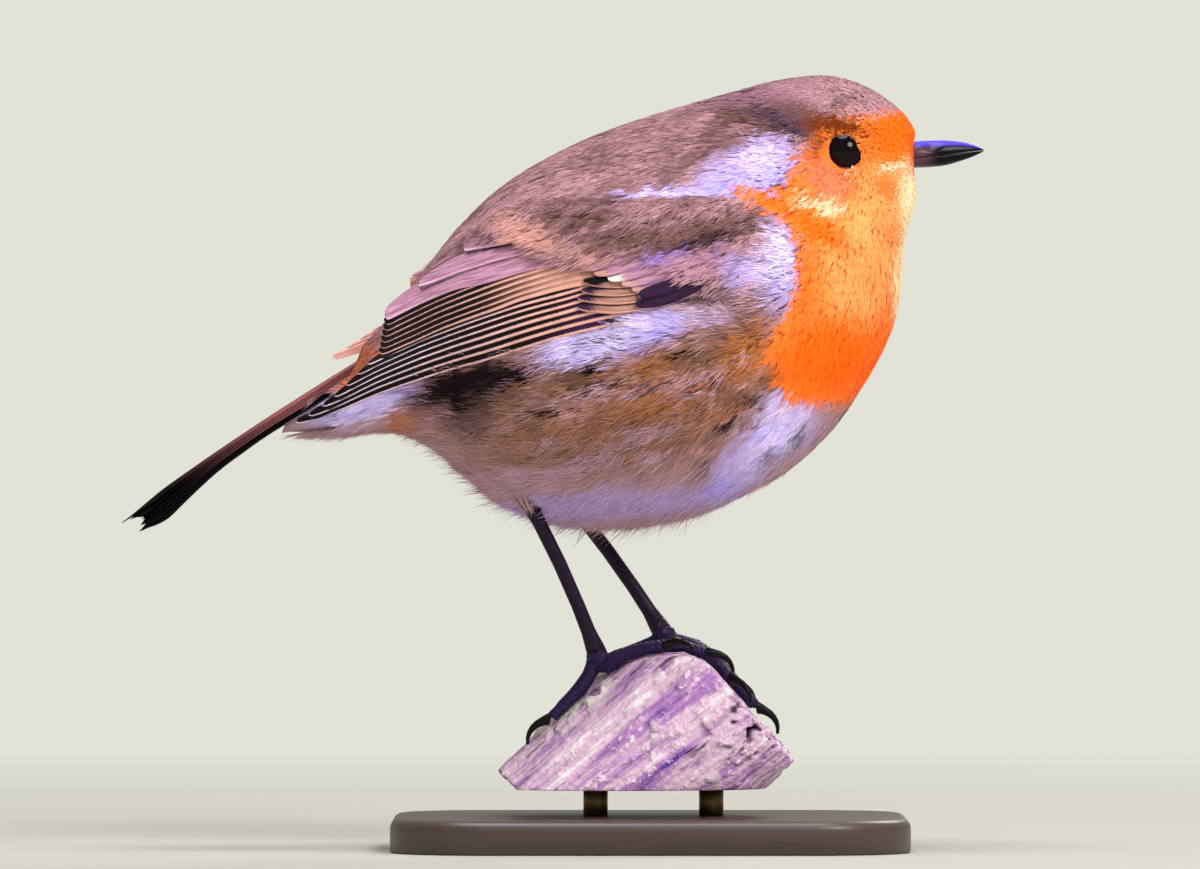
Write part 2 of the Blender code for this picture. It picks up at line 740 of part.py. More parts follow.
def claw_path(toe, radii):
    """The least lifted arc that stays clear of the bark."""
    for lift in spread(CLAW_LIFTS[0], CLAW_LIFTS[1], 12):
        path = claw_arc(toe, radii[0], lift)
        if is_clear(path, radii):
            break
    return path


FEET = {  # side: heel, then toe number: heading in degrees and length
    "right": (HEEL_RIGHT, {1: (186, 7.9), 2: (24, 10.6), 3: (1, 16.6), 4: (-22, 12.2)}),
    "left": (HEEL_LEFT, {1: (170, 8.4), 2: (-26, 10.8), 3: (2, 15.6), 4: (26, 12.0)}),
}


def build_leg(side, ankle, trunk):
    heel, toes = FEET[side]
    path, radii = shank_path(ankle, heel)
    flatten = SHANK_WIDTH / SHANK_DEPTH
    tube(f"leg_{side}_shank", path, radii, "leg", SHANK_SIDES, flatten)
    wide = [radius + GAP * 1.4 for radius in radii]
    sleeve_path = [path[0] + (path[0] - path[2]).normalized() * GAP] + path[1:]
    sleeve = tube(f"leg_{side}_hole", sleeve_path, wide, "leg", SHANK_SIDES, flatten)
    cut(trunk, helper(sleeve))
    joint_at = (heel[0], heel[1], heel[2] - HEEL_DROP)
    joint = ball(f"foot_{side}", joint_at, HEEL_RADIUS, "leg", 2)
    for number, (heading, length) in toes.items():
        line = toe_path(heel, math.radians(heading), length)
        toe = tube(f"toe_{side}_{number}", line, toe_radii(len(line)), "leg", TOE_SIDES)
        cut(joint, helper(toe), operation="UNION")
        hook_radii = spread(CLAW_ROOT, CLAW_TIP, CLAW_RINGS)
        hook = claw_path(line, hook_radii)
        tube(f"claw_{side}_{number}", hook, hook_radii, "claw", CLAW_SIDES, CLAW_FLATTEN)
    cut(joint, helper(sleeve_end(side, path, radii, flatten)))


def sleeve_end(side, path, radii, flatten):
    """The shank grown by the gap, which the foot is cut back from."""
    wide = [radius + GAP for radius in radii]
    ahead = (path[-1] - path[-2]).normalized()
    longer = path[:-1] + [path[-1] + ahead * GAP]
    return tube(f"foot_{side}_seat", longer, wide, "leg", SHANK_SIDES, flatten)


def main():
    clear_scene()
    head = body_length("head", 0, HEAD_END, "crown")
    neck = body_length("neck", HEAD_END, NECK_END, "breast")
    trunk = body_length("trunk", NECK_END, TRUNK_END, "mantle")
    rump = body_length("rump", TRUNK_END, len(BODY) - 1, "mantle")
    build_eyes(head)
    build_bill()
    build_wings(side_finder(), (neck, trunk, rump))
    build_tail((rump,))
    build_stand(build_branch())
    build_leg("right", ANKLE_RIGHT, trunk)
    build_leg("left", ANKLE_LEFT, trunk)


main()
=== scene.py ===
"""Looks of a life-size European robin that grips a cut branch on a plain display stand.

Lengths inside the makers are body millimetres: x and y as in the frame, z counted from the branch's
crest. They turn into metres in new_piece, the one place where a mesh is made.
"""

import math
from collections import namedtuple
from functools import cache

import bmesh
import bpy
import numpy as np
from bpy.props import FloatProperty, FloatVectorProperty, PointerProperty
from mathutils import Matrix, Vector
from mathutils.bvhtree import BVHTree


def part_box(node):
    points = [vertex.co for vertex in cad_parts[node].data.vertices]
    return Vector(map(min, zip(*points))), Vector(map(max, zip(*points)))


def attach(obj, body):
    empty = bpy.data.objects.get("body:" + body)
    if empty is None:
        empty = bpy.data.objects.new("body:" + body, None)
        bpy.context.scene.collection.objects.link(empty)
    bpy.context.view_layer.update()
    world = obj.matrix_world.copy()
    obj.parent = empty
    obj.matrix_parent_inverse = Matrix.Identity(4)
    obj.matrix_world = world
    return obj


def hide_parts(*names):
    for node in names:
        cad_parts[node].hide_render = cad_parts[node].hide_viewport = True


bl_info = {
    "name": "Robin on a branch",
    "version": (1, 0, 0),
    "blender": (4, 5, 0),
    "location": "3D View > Sidebar > Robin",
    "description": "Dresses the packed robin with skin, feathers, horn, wood and a stage",
    "category": "Object",
}

MM = 0.001
BODY = "root"
FLESH = ("head", "neck", "trunk", "rump")
SIDES = (("right", -1), ("left", 1))

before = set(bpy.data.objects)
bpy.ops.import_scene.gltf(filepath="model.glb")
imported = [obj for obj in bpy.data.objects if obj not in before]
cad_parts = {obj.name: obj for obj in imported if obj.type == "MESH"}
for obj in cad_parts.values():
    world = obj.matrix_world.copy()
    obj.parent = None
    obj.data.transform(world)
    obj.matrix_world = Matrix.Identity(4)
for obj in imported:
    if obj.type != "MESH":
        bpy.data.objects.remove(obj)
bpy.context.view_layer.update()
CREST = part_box("perch_branch")[1].z / MM
LIFT = np.array([0.0, 0.0, CREST])  # turns heights above the crest into heights above the floor


# ---- small tools ----


def linear(red, green, blue):
    """A display colour of 0 to 255 as the linear colour that materials mix."""
    shares = [value / 255 for value in (red, green, blue)]
    return tuple(s / 12.92 if s <= 0.04045 else ((s + 0.055) / 1.055) ** 2.4 for s in shares)


def toned(shade, strength):
    """A colour made darker or paler."""
    return tuple(strength * c for c in shade)


def surface_of(mesh):
    """A mesh's points in millimetres from the floor, and its normals."""
    points, normals = np.empty(len(mesh.vertices) * 3), np.empty(len(mesh.vertices) * 3)
    mesh.vertices.foreach_get("co", points)
    mesh.vertices.foreach_get("normal", normals)
    return points.reshape(-1, 3) / MM, normals.reshape(-1, 3)


def box_mm(node):
    """A CAD node's lowest and highest corner in body millimetres."""
    low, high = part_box(node)
    return np.array(low) / MM - LIFT, np.array(high) / MM - LIFT


def points_mm(node):
    """A CAD node's corners in body millimetres."""
    return surface_of(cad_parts[node].data)[0] - LIFT


def tree_of(*nodes):
    """A search tree over the faces of CAD nodes, in body millimetres."""
    points, faces = [], []
    for node in nodes:
        start = len(points)
        points += [Vector(p) for p in points_mm(node)]
        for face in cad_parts[node].data.polygons:
            faces.append([start + i for i in face.vertices])
    return BVHTree.FromPolygons(points, faces)


def ease(values, low, high):
    """0 below low, 1 above high, smooth between."""
    share = np.clip((values - low) / (high - low), 0.0, 1.0)
    return share * share * (3 - 2 * share)


def through(points, places):
    """A smooth curve through points, read at places counted from 0 to 1. Places may be an array."""
    points = np.asarray(points, float)
    last = len(points) - 1
    place = np.clip(np.asarray(places, float), 0, 1) * last
    first = np.minimum(place.astype(int), last - 1)
    share = (place - first)[..., None]
    a = points[np.maximum(first - 1, 0)]
    b = points[first]
    c = points[first + 1]
    d = points[np.minimum(first + 2, last)]
    bend = a - 2.5 * b + 2 * c - 0.5 * d
    return b + share * (0.5 * (c - a) + share * (bend + share * (1.5 * (b - c) + 0.5 * (d - a))))


def unit(vectors):
    return vectors / np.maximum(np.linalg.norm(vectors, axis=-1, keepdims=True), 1e-9)


def new_piece(name, points, faces, material, smooth=True):
    """A mesh piece from body millimetres that rides on the bird's one body."""
    mesh = bpy.data.meshes.new(name)
    placed = (np.asarray(points, float) + LIFT) * MM
    mesh.from_pydata(placed.tolist(), [], faces)
    shell = bmesh.new()
    shell.from_mesh(mesh)
    bmesh.ops.recalc_face_normals(shell, faces=shell.faces)
    shell.to_mesh(mesh)
    shell.free()
    return finish_piece(name, mesh, material, smooth)


def finish_piece(name, mesh, material, smooth=True):
    mesh.materials.append(material)
    mesh.polygons.foreach_set("use_smooth", [smooth] * len(mesh.polygons))
    mesh.update()
    piece = bpy.data.objects.new(name, mesh)
    bpy.context.scene.collection.objects.link(piece)
    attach(piece, BODY)
    return piece


def set_values(mesh, name, values):
    """Keeps one number for each corner point of a mesh, for its material to read."""
    layer = mesh.attributes.new(name, "FLOAT", "POINT")
    layer.data.foreach_set("value", np.asarray(values, np.float32))


def grid_faces(rows, columns, closed=False, start=0):
    """Quads over a grid of points. closed joins the last column to the first."""
    faces = []
    for row in range(rows - 1):
        for column in range(columns if closed else columns - 1):
            beside = (column + 1) % columns
            low, high = start + row * columns, start + (row + 1) * columns
            faces.append((low + column, low + beside, high + beside, high + column))
    return faces


def closed_form(rings):
    """Points and faces of a form from rings of points, with its two ends filled."""
    points = np.asarray(rings, float).reshape(-1, 3)
    sides = len(points) // len(rings)
    faces = grid_faces(len(rings), sides, closed=True)
    faces.append(tuple(range(sides)))
    faces.append(tuple(reversed(range(len(points) - sides, len(points)))))
    return points, faces


def tube(path, radii, sides=12, flatten=1.0, across=(0, 1, 0)):
    """Points and faces of a closed tube along a path, with domed or pointed ends."""
    path = np.asarray(path, float)
    radii = np.asarray(radii, float)
    ahead = unit(np.gradient(path, axis=0))
    over = unit(np.cross(ahead, np.asarray(across, float)))
    side = np.cross(over, ahead)
    turns = np.linspace(0, 2 * math.pi, sides, endpoint=False)
    out = over[:, None] * np.cos(turns)[None, :, None]
    out = out + side[:, None] * np.sin(turns)[None, :, None] * flatten
    return closed_form(path[:, None] + out * radii[:, None, None])


def joined(parts):
    """Several (points, faces) as one."""
    points, faces, start = [], [], 0
    for some, their in parts:
        points.append(np.asarray(some, float))
        faces += [tuple(start + i for i in face) for face in their]
        start += len(some)
    return np.concatenate(points), faces


# ---- the body's form ----


SECTIONS = (  # cuts through the body from bill to under-tail: where each meets the back and the belly line
    (39.2, 76.2, 38.5, 70.7), (37.0, 79.3, 39.1, 67.6), (32.4, 82.7, 38.2, 64.2),
    (26.5, 84.8, 37.1, 59.8), (19.8, 84.6, 36.8, 54.2), (12.4, 82.7, 35.8, 48.0), (4.2, 80.4, 32.2, 40.4),
    (-4.4, 77.7, 25.5, 30.9), (-13.2, 74.1, 14.9, 22.8), (-21.4, 69.1, 1.5, 18.3),
    (-28.0, 62.8, -11.8, 18.0), (-32.6, 56.8, -22.0, 21.6), (-36.2, 51.8, -29.4, 27.9),
    (-39.6, 47.8, -35.2, 31.6), (-45.0, 42.6, -43.4, 31.8), (-50.6, 38.2, -50.4, 31.6),
    (-54.6, 34.2, -54.6, 31.6),
)


class Form:
    """The plumage's outer face and the skin under it, as grids: rows run from the bill to the tail,
    columns go round from the back line. A place on it is (along, round), both from 0 to 1."""

    ROWS, COLUMNS = 200, 128
    START = 34.0  # how far outside the body a measuring ray starts
    WING_NEAR, WING_SINK = 3.6, 1.3
    FACE_FRONT = 6.4  # half height of the first measured row: those before it close on the bill

    def __init__(self, depth_at):
        cuts = self.even_steps(through(SECTIONS, np.linspace(0, 1, self.ROWS * 3)), self.ROWS)
        self.cuts = cuts
        self.middle = np.stack([(cuts[:, 0] + cuts[:, 2]) / 2, (cuts[:, 1] + cuts[:, 3]) / 2], 1)
        over = unit(cuts[:, :2] - cuts[:, 2:])
        turns = np.linspace(0, 2 * math.pi, self.COLUMNS, endpoint=False)
        rays = self.rays(over, turns)
        reach = self.measure(over, rays)
        middle = np.stack([self.middle[:, 0], np.zeros(self.ROWS), self.middle[:, 1]], 1)
        self.outer = middle[:, None] + rays * reach[:, :, None]
        self.solve()
        depth = depth_at(self.outer[..., 0], self.outer[..., 1], self.outer[..., 2])
        depth = np.minimum(depth, reach * 0.45)
        self.depth = depth
        self.skin = self.outer - self.normal * depth[:, :, None]

    @staticmethod
    def even_steps(cuts, count):
        ends = np.diff(cuts, axis=0)
        steps = (np.hypot(ends[:, 0], ends[:, 1]) + np.hypot(ends[:, 2], ends[:, 3])) / 2
        walked = np.concatenate([[0], np.cumsum(steps)])
        wanted = np.linspace(0, walked[-1], count)
        return np.stack([np.interp(wanted, walked, cuts[:, i]) for i in range(4)], 1)

    @staticmethod
    def rays(over, turns):
        flat = over[:, None] * np.cos(turns)[None, :, None]
        side = np.broadcast_to(np.sin(turns)[None, :], flat.shape[:2])
        return np.stack([flat[..., 0], side, flat[..., 1]], -1)

    def measure(self, over, rays):
        """How far the solids reach from the middle along each ray, with their slits closed."""
        flesh = tree_of(*FLESH, "eye_right", "eye_left")
        wings = tree_of(*(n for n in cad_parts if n.startswith("wing_")))
        reach = np.zeros((self.ROWS, self.COLUMNS))
        start = self.START
        for row in range(self.ROWS):
            tailward = np.array([-over[row, 1], over[row, 0]])
            for column in range(self.COLUMNS):
                ray = Vector(rays[row, column])
                far = 0.5
                for shift in (-0.4, 0.0, 0.4):
                    x, z = self.middle[row] + tailward * shift
                    origin = Vector((x, 0, z)) + ray * start
                    hit = flesh.ray_cast(origin, -ray, start)
                    if hit[0]:
                        far = max(far, start - hit[3])
                    hit = wings.ray_cast(origin, -ray, start)
                    if hit[0] and start - hit[3] < far + self.WING_NEAR:
                        far = max(far, start - hit[3] - self.WING_SINK)
                reach[row, column] = far
        half = np.hypot(*(self.cuts[:, :2] - self.cuts[:, 2:]).T) / 2
        first = int(np.argmax(half > self.FACE_FRONT))
        reach[:first] = reach[first] * (half[:first] / half[first])[:, None]
        for _ in range(5):
            reach = self.soften(reach)
        return reach

    @staticmethod
    def soften(grid):
        grid = (np.roll(grid, 1, 1) + 2 * grid + np.roll(grid, -1, 1)) / 4
        inner = (grid[:-2] + 2 * grid[1:-1] + grid[2:]) / 4
        return np.concatenate([grid[:1], inner, grid[-1:]])

    def solve(self):
        """Directions and stretch of the grid at each point."""
        along = np.gradient(self.outer, axis=0) * (self.ROWS - 1)
        round_ = (np.roll(self.outer, -1, 1) - np.roll(self.outer, 1, 1)) / 2 * self.COLUMNS
        self.along_stretch = np.linalg.norm(along, axis=-1)
        self.round_stretch = np.maximum(np.linalg.norm(round_, axis=-1), 3.0)
        self.tailward = unit(along)
        self.normal = unit(np.cross(self.tailward, unit(round_)))
        outward = self.outer - self.outer.mean(1, keepdims=True)
        if (self.normal * outward).sum() < 0:
            self.normal = -self.normal
        self.sideways = np.cross(self.normal, self.tailward)
        step = np.roll(self.outer, -1, 1) - self.outer
        self.roundward = np.sign((step * self.sideways).sum())  # whether going round goes with sideways

    def read(self, grid, along, around):
        """A grid's value at places, by weighing the four nearest points."""
        row = np.clip(along, 0, 1) * (self.ROWS - 1)
        column = (around % 1.0) * self.COLUMNS
        low = np.minimum(row.astype(int), self.ROWS - 2)
        left = column.astype(int) % self.COLUMNS
        right = (left + 1) % self.COLUMNS
        up, over = row - low, column - column.astype(int)
        if grid.ndim == 3:
            up, over = up[..., None], over[..., None]
        near = grid[low, left] * (1 - over) + grid[low, right] * over
        far = grid[low + 1, left] * (1 - over) + grid[low + 1, right] * over
        return near * (1 - up) + far * up

    def cell_areas(self):
        stretch = self.along_stretch[:-1] * self.round_stretch[:-1]
        return stretch / ((self.ROWS - 1) * self.COLUMNS)


# ---- markings: where each colour lies, over the side view, the same on both sides ----

BIB = (  # the orange of face and breast, closed in front of the bird
    (36.4, 79.8), (32.5, 78.8), (28.2, 79.0), (25.0, 77.9), (23.4, 75.0), (21.4, 72.2), (20.2, 69.6),
    (17.4, 67.3), (12.6, 68.4), (12.0, 66.9), (15.4, 64.8), (19.6, 63.0), (21.6, 60.2), (21.4, 54.8),
    (20.2, 50.4), (17.8, 47.4), (16.6, 44.8), (17.6, 41.2), (18.8, 38.4), (21.0, 36.2), (25.0, 36.6),
    (28.6, 36.2), (31.6, 38.0), (46.0, 40.0), (46.0, 82.0),
)


def inside(outline, x, z, softness):
    """1 well inside an outline and 0 well outside, softly between."""
    corners = np.asarray(outline, float)
    ahead = np.roll(corners, -1, 0)
    nearest = np.full(x.shape, 1e9)
    crossings = np.zeros(x.shape, int)
    for (ax, az), (bx, bz) in zip(corners, ahead):
        run, rise = bx - ax, bz - az
        share = np.clip(((x - ax) * run + (z - az) * rise) / (run * run + rise * rise), 0, 1)
        nearest = np.minimum(nearest, np.hypot(x - ax - share * run, z - az - share * rise))
        if bz != az:
            spans = (az > z) != (bz > z)
            crossings += spans & (x < ax + (z - az) * run / rise)
    signed = np.where(crossings % 2 == 1, nearest, -nearest)
    return ease(signed, -softness, softness)


def spot(x, z, centre, sizes, turn=0.0, edge=0.45):
    """A soft oval, turned anticlockwise by degrees: 1 in its middle, 0 outside."""
    angle = math.radians(turn)
    dx, dz = x - centre[0], z - centre[1]
    across = (dx * math.cos(angle) + dz * math.sin(angle)) / sizes[0]
    up = (dz * math.cos(angle) - dx * math.sin(angle)) / sizes[1]
    return 1 - ease(np.hypot(across, up), edge, 1.25)


def streaks(x, z, turn, long, wide, seed):
    """A smooth random value from 0 to 1 for each place, drawn out along the lie of the feathers."""
    table = np.random.default_rng(seed).random((64, 64))
    angle = math.radians(turn)
    u = (x * math.cos(angle) + z * math.sin(angle)) / long + 200.0
    v = (z * math.cos(angle) - x * math.sin(angle)) / wide + 200.0
    i, j = np.floor(u).astype(int), np.floor(v).astype(int)
    a, b = ease(u - i, 0, 1), ease(v - j, 0, 1)
    i, j = i % 63, j % 63
    low = table[i, j] * (1 - b) + table[i, j + 1] * b
    high = table[i + 1, j] * (1 - b) + table[i + 1, j + 1] * b
    return low * (1 - a) + high * a


# Each colour's soft ovals: strength, middle, half sizes, turn in degrees, and where the edge starts.
OVALS = {
    # The first two ovals, along the front edge of throat and breast, are a painted rim of light. The others
    # are pale tufts of cheek, eye and gape.
    "cream": (
        (1, 39.2, 65.0, 2.6, 7.5, 8), (0.9, 37.8, 56.0, 2.0, 8.5, -6), (0.65, 26.2, 65.6, 3.2, 1.2, -12),
        (0.5, 22.8, 66.4, 2.4, 0.9, 8), (0.5, 29.6, 70.6, 1.8, 0.3, 16), (0.9, 35.4, 71.3, 2.6, 0.4, 17),
    ),
    "pale": (
        (1, 34.8, 64.5, 5.2, 8.5, 10), (0.85, 31.0, 57.0, 6.5, 9.0, 0), (0.4, 29.5, 50.0, 5.0, 4.5, 0),
    ),
    "rose": (
        (1, 26.8, 68.6, 3.4, 2.4, -12), (0.8, 24.0, 71.2, 3.2, 2.0, -20),
    ),
    "deep": (
        (1, 26.0, 43.4, 8.5, 6.0, 28), (1, 35.6, 76.0, 3.8, 4.2, 0), (1, 25.5, 61.6, 6.5, 1.7, -30),
        (0.8, 19.0, 66.0, 5.0, 1.1, -20), (0.7, 34.6, 68.4, 2.4, 1.6, -50), (0.5, 21.5, 54.0, 2.4, 5.0, 0),
    ),
    "lilac": (
        (1, 16.8, 71.4, 5.4, 4.6, 20), (1, 9.5, 68.2, 5.0, 1.8, 8), (0.6, 11.0, 70.6, 4.5, 3.2, 10),
        (1, 1.5, 67.0, 8.0, 1.2, 4), (1, 18.2, 57.0, 3.8, 7.4, -6), (0.6, 12.5, 55.0, 3.0, 3.0, 0),
        (1, -6.4, 46.0, 11.5, 3.2, 15, 0.6), (0.3, 6.0, 49.0, 7.0, 2.0, 10),
        (0.9, 20.0, 34.0, 5.0, 5.0, 30), (0.8, 14.0, 27.5, 8.0, 3.5, 40), (0.5, -6.0, 21.5, 20.0, 2.5, 4),
        (1, -42.0, 36.6, 8.8, 2.8, 16, 0.6),
    ),
    "frost": (
        (1, 17.6, 57.5, 3.6, 6.6, -6), (0.8, -8.0, 46.6, 9.0, 1.6, 15), (0.7, 16.2, 72.6, 3.2, 2.4, 15),
        (0.8, 7.0, 50.0, 6.0, 1.6, 5), (1, 20.0, 34.0, 4.2, 4.6, 30), (0.8, 16.0, 28.5, 7.0, 3.0, 40),
        (0.9, -7.4, 45.6, 9.4, 2.8, 15), (0.6, 2.0, 67.2, 6.0, 0.8, 4), (1, -42.5, 36.0, 8.5, 2.8, 16, 0.6),
    ),
    "flank": (
        (1, -4.0, 37.0, 27.0, 12.0, 12, 0.6),
    ),
    "amber": (
        (1, 14.2, 43.6, 4.8, 4.8, 60), (0.4, 2.0, 37.5, 11.0, 3.0, 12), (1.1, -36.2, 34.0, 2.6, 1.8, 0),
        (0.5, -3.0, 42.0, 8.0, 1.4, 10),
    ),
    "rufous": (
        (1, -43.5, 42.4, 6.5, 3.4, 36, 0.5),
    ),
    "tan": (
        (1, -17.5, 60.6, 6.0, 2.2, -28), (0.7, -8.5, 57.2, 4.0, 1.2, -12),
    ),
    # Near-black ovals, mostly painted shade: the shadow under the wing's rear at (-26.5, 39.4), the dark line
    # under the scapular bulge at (6.5, 59.2) and thin slits of shade between the locks of the lower breast;
    # the rest darken brow, eye, wing's bend, breast side, flank and vent.
    "soot": (
        (0.4, 20.5, 77.0, 4.4, 1.0, -22), (1, -26.5, 39.4, 9.0, 2.6, 17, 0.6),
        (0.7, -28.0, 35.0, 1.4, 3.6, -12), (0.3, 7.5, 44.2, 4.0, 1.0, 12), (0.8, 6.5, 59.2, 7.5, 0.8, 16),
        (0.7, 7.4, 51.6, 3.4, 0.6, 12), (0.6, 18.4, 40.6, 2.2, 1.6, 20), (0.7, 21.8, 31.6, 0.8, 2.8, -30),
        (0.6, 17.4, 28.2, 0.8, 2.2, -35), (0.6, 7.6, 26.8, 0.7, 2.2, -40), (0.5, -10.0, 41.0, 6.0, 0.9, 14),
        (0.5, 19.2, 68.6, 0.8, 1.6, 0),
    ),
    "dark": (
        (0.5, -4.0, 38.0, 25.0, 10.0, 12), (0.3, 12.0, 52.0, 6.0, 8.0, 0), (0.25, 14.0, 79.0, 9.0, 3.0, -5),
    ),
    # The second oval, along the top of the crown, is painted light from above, so the crown's top is paler
    # and pinker.
    "mauve": (
        (1, 4.4, 56.4, 8.2, 2.5, 14, 0.7), (0.5, 12.0, 82.6, 16.0, 2.6, 2),
    ),
    # Painted sheen on the coverts.
    "violet": (
        (0.8, 1.8, 57.2, 4.6, 0.8, 20), (0.6, 10.4, 57.7, 1.5, 1.1, 0),
    ),
    # The ovals at (6.5, 60.6), (4.5, 58.2) and (-4.5, 59.6) are painted shadow under the scapulars' lower
    # edge. The others darken crown, nape, mantle and back.
    "umber": (
        (1, 18.0, 79.4, 10.0, 3.4, -14, 0.6), (0.9, 6.5, 60.6, 11.5, 2.2, 13),
        (0.7, 4.5, 58.2, 8.5, 1.6, 14), (0.8, -4.5, 59.6, 6.5, 1.8, 12), (0.5, 12.0, 75.6, 6.0, 2.2, -6),
        (0.6, -8.0, 64.5, 9.0, 3.5, 24), (0.35, 6.0, 73.0, 9.0, 2.0, 10),
    ),
    "rust": (
        (1, 27.0, 77.6, 5.8, 1.7, -8), (0.6, 24.2, 74.6, 1.3, 2.8, 0),
    ),
    # The second oval lies in the shadow under the wing's rear and is painted shade. The first darkens the
    # vent.
    "vent": (
        (0.8, -25.6, 34.4, 3.2, 4.4, -14), (0.6, -22.0, 38.5, 7.5, 2.4, 14),
    ),
    "dusk": (
        (0.9, 21.4, 77.2, 4.2, 1.8, -20), (0.4, 16.5, 79.4, 4.0, 1.0, -12),
    ),
}


def ovals(x, z, mark):
    """A colour's ovals added up at each place."""
    return sum(strength * spot(x, z, (a, b), (c, d), *more) for strength, a, b, c, d, *more in OVALS[mark])


def markings(x, z, rng=None):
    """The share of each colour at points of the body, and how likely a dark barb is there."""
    if rng is not None:
        x = x + rng.normal(0, 0.5, x.shape)
        z = z + rng.normal(0, 0.5, z.shape)
    share = {mark: ovals(x, z, mark) for mark in OVALS}
    bib = inside(BIB, x, z, 0.7)
    under_tail = (1 - ease(x, -37.0, -31.0)) * ease(-z - 0.5 * x, -20.0, -17.0)
    belly = np.maximum(ease(-z, -33.0, -23.0) * ease(x, -32.0, -20.0), under_tail)
    belly = np.maximum(belly, spot(x, z, (18.0, 30.0), (13.0, 8.5), 35))
    share["belly"] = np.maximum(belly, spot(x, z, (-30.0, 27.0), (3.4, 5.5), -10, 0.7))
    side = ease(-z, -52.0, -47.0) * (1 - ease(x, 15.0, 20.0)) * (1 - under_tail)
    # On the sides, locks is the same field that raises the tufts' barbs in make_tufts. Its high places are
    # painted paler in lilac and tan, which is painted light on the raised locks. Its low places and the slits
    # turn near-black, which is painted shade between locks. The glints are painted highlights: pale strands
    # of frost, lilac and tan.
    locks = streaks(x, z, 14, 7.0, 1.1, 21)
    slits = streaks(x, z, 12, 4.5, 0.6, 22)
    glints = streaks(x, z, 10, 5.0, 0.5, 23)
    share["frost"] += side * 0.3 * ease(glints, 0.68, 0.86)
    share["lilac"] += side * (0.12 * ease(glints, 0.68, 0.86) + 0.2 * ease(locks, 0.62, 0.8))
    share["tan"] += side * (0.5 * ease(glints, 0.66, 0.86) + 0.3 * ease(locks, 0.6, 0.8))
    share["amber"] += 0.45 * side * ease(z, 30.0, 35.0) * ease(streaks(x, z, 16, 6.0, 1.0, 24), 0.55, 0.8)
    upper = side * ease(z + 0.12 * x, 28.0, 33.0) * (1 - 0.9 * spot(x, z, (13.8, 45.6), (5.5, 4.5), 20))
    share["soot"] += upper * (0.85 * ease(slits, 0.72, 0.84) + 0.35 * ease(-locks, -0.36, -0.2))
    shafts = ease(streaks(x, z, 22, 5.0, 0.8, 26), 0.5, 0.75)
    share["umber"] += 0.6 * shafts * (z > 56) * (1 - ease(x, 28, 33))
    crown_shafts = ease(streaks(x, z, -8, 5.0, 0.7, 25), 0.62, 0.8)
    share["dusk"] += 0.5 * crown_shafts * spot(x, z, (15.0, 79.0), (9.0, 3.5), -8)
    share["mauve"] = share["mauve"] * (1 - share["lilac"])
    for mark in ("umber", "dusk", "lilac", "frost", "dark"):
        share[mark] = share[mark] * (1 - bib)
    share["soot"] = share["soot"] * (1 - 0.6 * bib)
    share["bib"] = bib
    share = {mark: np.clip(value, 0, 1) for mark, value in share.items()}
    return share, share.pop("dark")


MARKS = ("bib", "pale", "cream", "rose", "deep", "lilac", "frost", "belly", "flank", "amber", "rufous")
MARKS += ("tan", "soot", "mauve", "violet", "dusk", "umber", "rust", "vent")


def coat_depth_at(x, y, z):
    """The coat's depth over the body: thin on the face, deep on flank and belly."""
    depth = np.full(x.shape, 1.1)
    depth = depth + 0.9 * ease(-z, -46.0, -32.0) * (1 - ease(x, 12.0, 20.0))
    face = ease(x, 18.0, 30.0) * ease(z, 60.0, 68.0)
    depth = depth * (1 - face) + 0.6 * face
    bill = ease(x, 34.0, 38.0) * ease(z, 64.0, 70.0)
    depth = depth * (1 - bill) + 0.35 * bill
    tail = ease(-x, 40.0, 50.0)
    return depth * (1 - tail) + 0.8 * tail


# ---- settings ----


def colour(name, text, *display):
    """A colour setting, with its default as a display colour."""
    default = linear(*display)
    return FloatVectorProperty(name=name, description=text, subtype="COLOR", size=3, default=default)


def amount(name, text, default, **limits):
    return FloatProperty(name=name, description=text, default=default, **limits)


class RobinPlumage(bpy.types.PropertyGroup):
    brown: colour("Brown", "Crown, nape and back", 188, 144, 152)
    umber: colour("Umber", "Shaded barbs of the brown parts", 112, 78, 74)
    tan: colour("Tan", "Lowest scapulars", 226, 166, 152)
    # Along the top of the crown this colour is painted light from above.
    mauve: colour("Mauve", "Small coverts, top of the crown", 196, 142, 168)
    # A painted sheen on the coverts.
    violet: colour("Violet", "Gloss on the coverts", 150, 124, 216)
    dusk: colour("Dusk", "Streak behind the eye", 92, 70, 90)
    orange: colour("Orange", "Face and breast", 255, 132, 54)
    flame: colour("Flame", "Deepest orange", 255, 108, 4)
    apricot: colour("Apricot", "Throat and middle of the breast", 255, 186, 112)
    # On the front edge of the throat this colour is a painted rim of light.
    cream: colour("Cream", "Front edge of the throat, tufts of the cheek", 255, 240, 200)
    rust: colour("Rust", "Brow over the eye", 120, 50, 12)
    coral: colour("Coral", "Cheek behind and below the eye", 250, 122, 84)
    lilac: colour("Lilac", "Band beside the breast and on the neck", 196, 180, 252)
    frost: colour("Frost", "Palest strands of the lilac parts", 255, 240, 255)
    flank: colour("Flank", "Buff brown of the sides", 156, 112, 86)
    amber: colour("Amber", "Warm patches of the sides", 192, 110, 40)
    belly: colour("Belly", "Belly and under-tail coverts", 194, 158, 164)
    rufous: colour("Rufous", "Rump and tail base", 196, 110, 66)
    # Near-black of the dark barbs; the same colour paints the shade under the wing, under the scapulars and
    # between locks.
    soot: colour("Soot", "Dark barbs", 26, 15, 18)
    barb_width: amount("Barb width", "Width of a body barb", 0.00026, unit="LENGTH")
    fullness: amount("Fullness", "How many barbs are made, 1 being all", 1.0, min=0.02, max=1.0)


